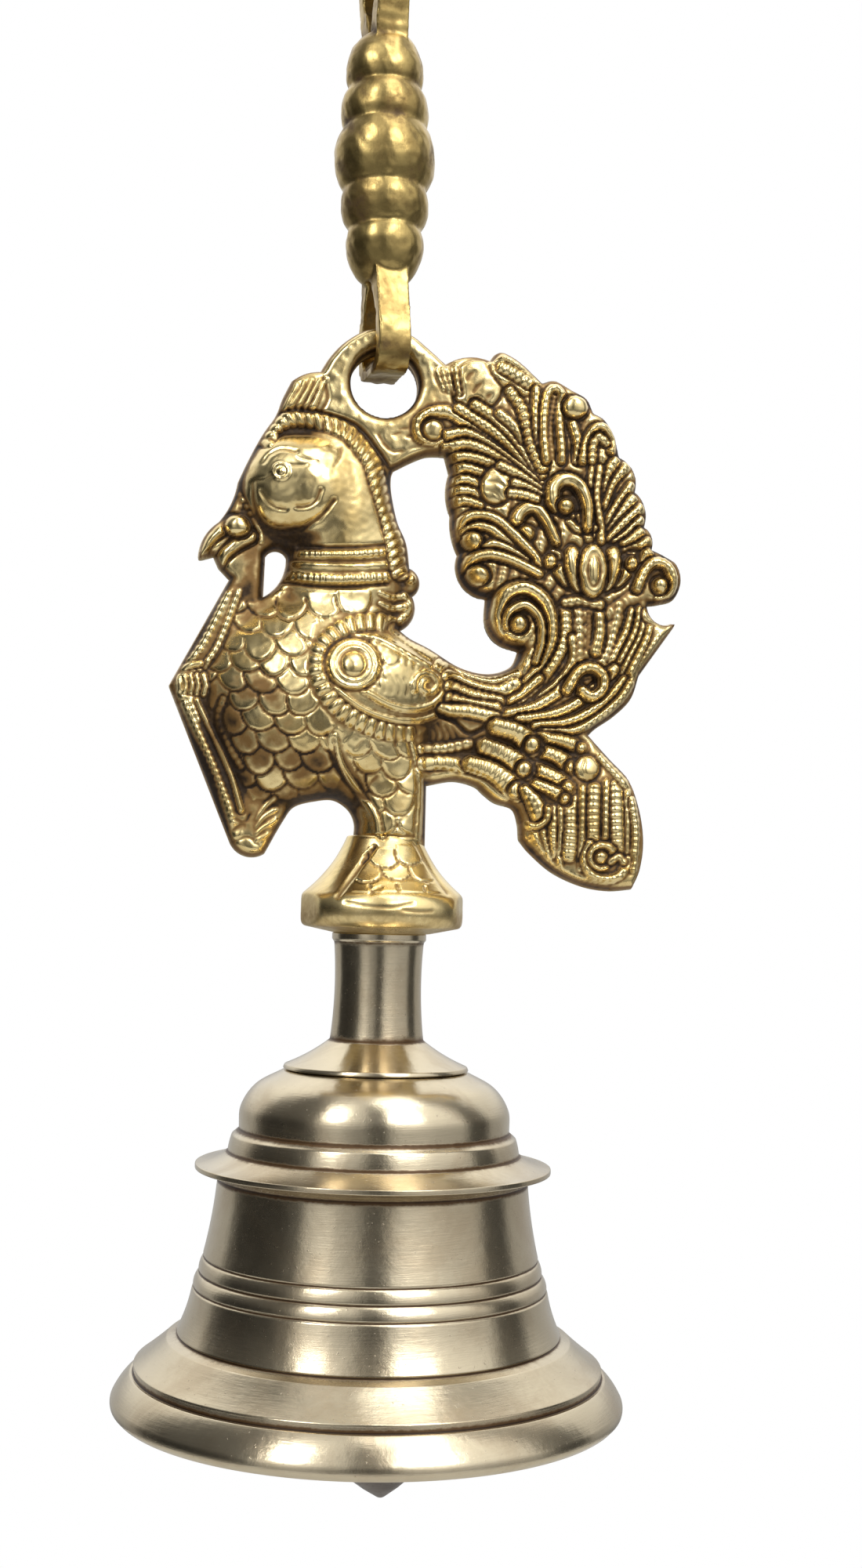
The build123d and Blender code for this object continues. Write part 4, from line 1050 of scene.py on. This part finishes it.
# ------------------------------------------------------------------ finishes
class Nodes:
    """A node tree, with short names for the nodes that the finishes and the room repeat."""

    def __init__(self, tree):
        self.tree = tree

    def add(self, kind, inputs=(), **settings):
        """Node with its settings and inputs; an input is a value, a colour or another node's output."""
        made = self.tree.nodes.new(kind)
        for key, value in settings.items():
            setattr(made, key, value)
        for key, value in dict(inputs).items():
            if isinstance(value, bpy.types.NodeSocket):
                self.tree.links.new(value, made.inputs[key])
            elif isinstance(value, tuple) and made.inputs[key].type == "RGBA":
                made.inputs[key].default_value = (*value, 1)
            else:
                made.inputs[key].default_value = value
        return made

    def math(self, operation, a, b, clamp=False):
        return self.add("ShaderNodeMath", {0: a, 1: b}, operation=operation, use_clamp=clamp).outputs[0]

    def band(self, value, low, high, out_low=0.0, out_high=1.0, kind="SMOOTHSTEP"):
        """Step of a value between two limits."""
        inputs = {"Value": value, "From Min": low, "From Max": high, "To Min": out_low, "To Max": out_high}
        return self.add("ShaderNodeMapRange", inputs, interpolation_type=kind).outputs[0]

    def mix(self, share, a, b):
        """Mix of two colours."""
        return self.add("ShaderNodeMix", {0: share, 6: a, 7: b}, data_type="RGBA").outputs[2]

    def blend(self, share, a, b):
        """Mix of two values."""
        return self.add("ShaderNodeMix", {0: share, 2: a, 3: b}, data_type="FLOAT").outputs[0]


class Finish(Nodes):
    """Node material for one finish."""

    def __init__(self, name):
        self.material = bpy.data.materials.new(name)
        self.material.use_nodes = True
        super().__init__(self.material.node_tree)
        self.shader = self.tree.nodes["Principled BSDF"]
        self.place = self.add("ShaderNodeTexCoord").outputs["Object"]

    def noise(self, scale, detail, rough=0.55, stretch=None, twist=0.0):
        """Noise over the object; stretch is its own scale along each axis."""
        place = self.place
        if stretch:
            place = self.add("ShaderNodeMapping", {"Vector": place, "Scale": stretch}).outputs[0]
        inputs = {"Vector": place, "Scale": scale, "Detail": detail, "Roughness": rough, "Distortion": twist}
        return self.add("ShaderNodeTexNoise", inputs).outputs["Fac"]

    def hollow_and_shade(self):
        return self.add("ShaderNodeAttribute", attribute_name="hollow_and_shade").outputs["Fac"]

    def bump(self, height, depth, before=None):
        inputs = {"Height": height, "Distance": depth * MM, "Strength": 1.0}
        if before:
            inputs["Normal"] = before
        return self.add("ShaderNodeBump", inputs).outputs[0]

    def link(self, value, socket):
        self.tree.links.new(value, self.shader.inputs[socket])


BROWN = (0.115, 0.062, 0.024)   # dirt in the hollows
SOOT_AND_SHADE = (0.03, 0.016, 0.007)     # at the bottom of the deepest recesses, and on the bird also in its darkest painted shade


def metal(name, clean, dull, dirt_and_shade_colour, rough, grime_and_shade_limits, pitted, uneven, turned=0.0, brushed=0.0, tarnish=0.6,
          patch=55.0):
    """Metal in clean and dull patches, with brown patina and soil in its recesses and pits, on the bird also
    painted shade, fine scratches and tool marks.
    """
    f = Finish(name)
    patches = f.band(f.noise(patch, 6, 0.62, twist=0.6), 0.4, 0.68, 0, tarnish)
    small = f.noise(900, 3, 0.6)
    ragged = f.math("ADD", f.hollow_and_shade(), f.math("MULTIPLY", f.math("SUBTRACT", small, 0.5), 0.3))
    ragged = f.math("ADD", ragged, f.math("MULTIPLY", patches, 0.12))
    grime_and_shade_mask = f.band(ragged, *grime_and_shade_limits)
    pits = f.band(f.noise(1500, 2, 0.5), 0.70 - 0.06 * pitted, 0.76, 0, pitted)
    grime_and_shade_mask = f.math("MAXIMUM", grime_and_shade_mask, pits)
    colour = f.mix(patches, clean, dull)
    # dark brown towards the recesses: patina, and on the bird also painted shade
    colour = f.mix(grime_and_shade_mask, colour, dirt_and_shade_colour)
    colour = f.mix(f.band(ragged, grime_and_shade_limits[1], grime_and_shade_limits[1] + 0.45), colour, SOOT_AND_SHADE)
    f.link(colour, "Base Color")
    f.link(f.band(grime_and_shade_mask, 0.2, 1, 1.0, 0.45), "Metallic")
    rubbed = f.math("MULTIPLY", f.math("SUBTRACT", f.noise(240, 5, 0.7), 0.5), 0.14)
    dulled = f.math("ADD", rubbed, f.math("MULTIPLY", patches, 0.1))
    dulled = f.math("ADD", dulled, f.math("MULTIPLY", grime_and_shade_mask, 0.3))
    f.link(f.math("ADD", dulled, rough, clamp=True), "Roughness")
    height = f.bump(f.noise(170, 3, 0.5), uneven)
    if turned:
        height = f.bump(f.noise(1, 4, 0.65, stretch=(160, 160, 2600)), turned, height)
    if brushed:
        height = f.bump(f.noise(1, 3, 0.6, stretch=(1900, 1900, 110), twist=0.3), brushed, height)
    height = f.bump(f.noise(2600, 3, 0.7), 0.012, height)
    f.link(f.bump(grime_and_shade_mask, 0.03, height), "Normal")
    return f


FINISHES = {
    "bell_brass": metal(
        "turned_bell_brass", (0.66, 0.57, 0.405), (0.51, 0.405, 0.265), BROWN, 0.19, (0.13, 0.5),
        pitted=0.3, uneven=0.08, turned=0.03),
    "bird_brass": metal(
        "cast_bird_brass", (0.94, 0.755, 0.375), (0.64, 0.455, 0.17), (0.27, 0.15, 0.045), 0.22, (0.08, 0.66),
        pitted=0.2, uneven=0.1, tarnish=0.8, patch=70),
    "link_brass": metal(
        "satin_link_brass", (0.51, 0.375, 0.14), (0.27, 0.18, 0.062), (0.085, 0.045, 0.016), 0.29,
        (0.08, 0.5), pitted=0.15, uneven=0.22, brushed=0.02, tarnish=1.0, patch=62),
    "bolt_steel": metal(
        "dull_bolt_steel", (0.34, 0.32, 0.29), (0.20, 0.18, 0.15), BROWN, 0.42, (0.3, 0.8),
        pitted=0.7, uneven=0.1, turned=0.03),
    "clapper_iron": metal(
        "turned_clapper_iron", (0.15, 0.125, 0.10), (0.075, 0.058, 0.045), (0.05, 0.03, 0.018), 0.38,
        (0.3, 0.8), pitted=0.8, uneven=0.12, turned=0.06),
}
FINISHES["bell_brass"].shader.inputs["Anisotropic"].default_value = 0.85
FINISHES["bell_brass"].shader.inputs["Anisotropic Rotation"].default_value = 0.25
# the lathe's grain runs round the bell
grain = FINISHES["bell_brass"].add("ShaderNodeTangent", direction_type="RADIAL", axis="Z")
FINISHES["bell_brass"].link(grain.outputs[0], "Tangent")


def dress(piece, finish):
    piece.data.materials.clear()
    piece.data.materials.append(FINISHES[finish].material)


# ------------------------------------------------------------------ pieces
def turned_link():
    """Chain link with the grooves and sloping shoulders of its turned body, and a slim lower end."""
    upper = [[(r, 2 * LINK_MIDDLE - z) for r, z in reversed(stroke)] for stroke in reversed(LINK_CORE)]
    closing = [(0, 2 * LINK_MIDDLE - LINK_FOOT), (0, LINK_FOOT)]
    at = Matrix.Translation(PIVOT) @ Matrix.Rotation(math.radians(LINK_TURN), 4, "Z")
    core = lathe("core", LINK_CORE + upper + [closing], at, 128, 0.3)
    made = forged("baluster_link", "forged_link", 0.32, 3, 0.14, 9.0, core)
    places = coordinates(made.data)
    above = (placed(places, made.matrix_world)[:, 2] - PIVOT.z) / MM
    places[:, 2] += LINK_SLIMMED * MM * np.clip((1.5 - above) / 4.7, 0, 1)
    made.data.vertices.foreach_set("co", places.ravel())
    made.data.update()
    return made


MADE = {
    "bird_handle": (bird(), "bell", "bird_brass"),
    "neck_sleeve": (lathe("turned_sleeve", SLEEVE_PROFILE, BELL_FRAME, 256, 0.18), "bell", "bell_brass"),
    "bell_shell": (lathe("cast_bell", BELL_PROFILE, BELL_FRAME, 400, 0.15, 0.0008), "bell", "bell_brass"),
    "clapper_bob": (lathe("turned_bob", BOB_PROFILE, clapper_frame(), 128, 0.3), "clapper", "clapper_iron"),
    "baluster_link": (turned_link(), "link", "link_brass"),
    "eye_bolt": (forged("eye_bolt", "forged_bolt", 0.22, 2, 0.05, 3.0), "bell", "bolt_steel"),
    "crown_washer": (forged("crown_washer", "stamped_washer", 0.16, 2, 0.03, 4.0), "bell", "bolt_steel"),
    "crown_nut": (forged("crown_nut", "pressed_nut", 0.16, 2, 0.03, 3.0), "bell", "bolt_steel"),
    "clapper_ring": (forged("clapper_ring", "bent_ring", 0.16, 2, 0.04, 3.0), "clapper_hook", "bolt_steel"),
    "clapper_rod": (forged("clapper_rod", "forged_rod", 0.22, 2, 0.05, 4.0), "clapper", "bolt_steel"),
}
for cad_node, (piece, body, finish) in MADE.items():
    dress(piece, finish)
    dress(frame["nodes"][cad_node], finish)
    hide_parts(cad_node)
    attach(piece, body)


# ------------------------------------------------------------------ studio
FLOOR_RADIUS = 0.7
FLOOR_HEIGHT = -0.62
LOOK_TURN, LOOK_RISE = math.radians(7.5), math.radians(3.74)    # of the camera: to the right and up
LENS, SENSOR = 42.0, 36.0
AIM = (0, 0, -0.19)     # what the lamps point at
# name, place, watts, width and height
LAMPS = [("key_lamp", (-0.88, -0.94, 0.9), 6, 0.35, 0.7), ("fill_lamp", (0.56, -1.2, 0.8), 7, 0.6, 0.6),
         ("top_lamp", (0.3, -0.35, 1.1), 3, 0.6, 0.6)]
# degrees round from the camera's side, to the right, and how bright the room is there
ROOM = [(-180, 1.0), (-150, 0.95), (-128, 0.8), (-120, 0.22), (-112, 0.07), (-90, 0.05), (-70, 0.08),
        (-58, 0.2), (-50, 0.9), (-36, 1.15), (-30, 0.8), (-14, 0.5), (-10, 0.16), (3, 0.12), (9, 0.8),
        (16, 1.2), (38, 1.2), (46, 1.05), (76, 0.9), (82, 0.18), (102, 0.12), (110, 0.75), (140, 0.95),
        (180, 1.0)]


def floor():
    """Pale round floor below the bell."""
    mesh = bpy.data.meshes.new("studio_floor")
    turns = [math.tau * i / 96 for i in range(96)]
    rim = [(FLOOR_RADIUS * math.cos(t), FLOOR_RADIUS * math.sin(t), FLOOR_HEIGHT) for t in turns]
    mesh.from_pydata(rim, [], [list(range(96))])
    made = added("studio_floor", mesh)
    f = Finish("pale_floor")
    f.link(f.mix(f.noise(3, 2), (0.56, 0.56, 0.555), (0.6, 0.6, 0.595)), "Base Color")
    f.shader.inputs["Roughness"].default_value = 0.9
    made.data.materials.append(f.material)


def studio():
    """White behind the bell for the camera; for reflections, bright and dark panels round a pale room."""
    world = bpy.data.worlds.new("studio")
    bpy.context.scene.world = world
    world.use_nodes = True
    world.node_tree.nodes.clear()
    n = Nodes(world.node_tree)
    way = n.add("ShaderNodeTexCoord").outputs["Generated"]
    across, depth, height = n.add("ShaderNodeSeparateXYZ", {0: way}).outputs
    angle = n.math("ARCTAN2", across, n.math("MULTIPLY", depth, -1.0))
    ramp = n.add("ShaderNodeValToRGB", {0: n.band(angle, -math.pi, math.pi, kind="LINEAR")})
    stops = ramp.color_ramp.elements
    while len(stops) < len(ROOM):
        stops.new(0.5)
    for stop, (turn, bright) in zip(stops, ROOM):
        stop.position = turn / 360 + 0.5
        stop.color = (bright, bright, bright, 1)
    room = n.math("MULTIPLY", ramp.outputs[0], n.band(height, 0.0, 0.33, 0.5))      # dim at the horizon
    room = n.math("MULTIPLY", room, n.band(height, 0.35, 0.75, 1.0, 1.35))          # brighter above
    room = n.math("ADD", room, n.band(height, 0.2, 0.6, 0.0, 0.06))
    room = n.blend(n.band(height, 0.9, 0.995), room, 0.8)                           # ceiling
    room = n.blend(n.band(height, -0.5, -0.12), 0.14, room)                         # ground
    strength = n.blend(n.add("ShaderNodeLightPath").outputs["Is Camera Ray"], room, 1.0)
    background = n.add("ShaderNodeBackground", {"Color": (1, 1, 1), "Strength": strength})
    n.add("ShaderNodeOutputWorld", {0: background.outputs[0]})


def lamp(name, place, power, width, height):
    data = bpy.data.lights.new(name, "AREA")
    data.shape = "RECTANGLE"
    data.size, data.size_y, data.energy = width, height, power
    made = added(name, data)
    made.location = place
    made.rotation_euler = (Vector(AIM) - Vector(place)).to_track_quat("-Z", "Y").to_euler()


def camera():
    data = bpy.data.cameras.new("camera")
    data.lens, data.sensor_width, data.sensor_fit = LENS, SENSOR, "AUTO"
    data.clip_start, data.clip_end = 0.01, 20
    made = added("camera", data)
    made.location = Vector(VIEWPOINT) * MM
    level = math.cos(LOOK_RISE)
    look = Vector((math.sin(LOOK_TURN) * level, math.cos(LOOK_TURN) * level, math.sin(LOOK_RISE)))
    made.rotation_euler = look.to_track_quat("-Z", "Y").to_euler()
    bpy.context.scene.camera = made


floor()
studio()
for settings in LAMPS:
    lamp(*settings)
camera()
bpy.context.scene.view_settings.view_transform = "Standard"
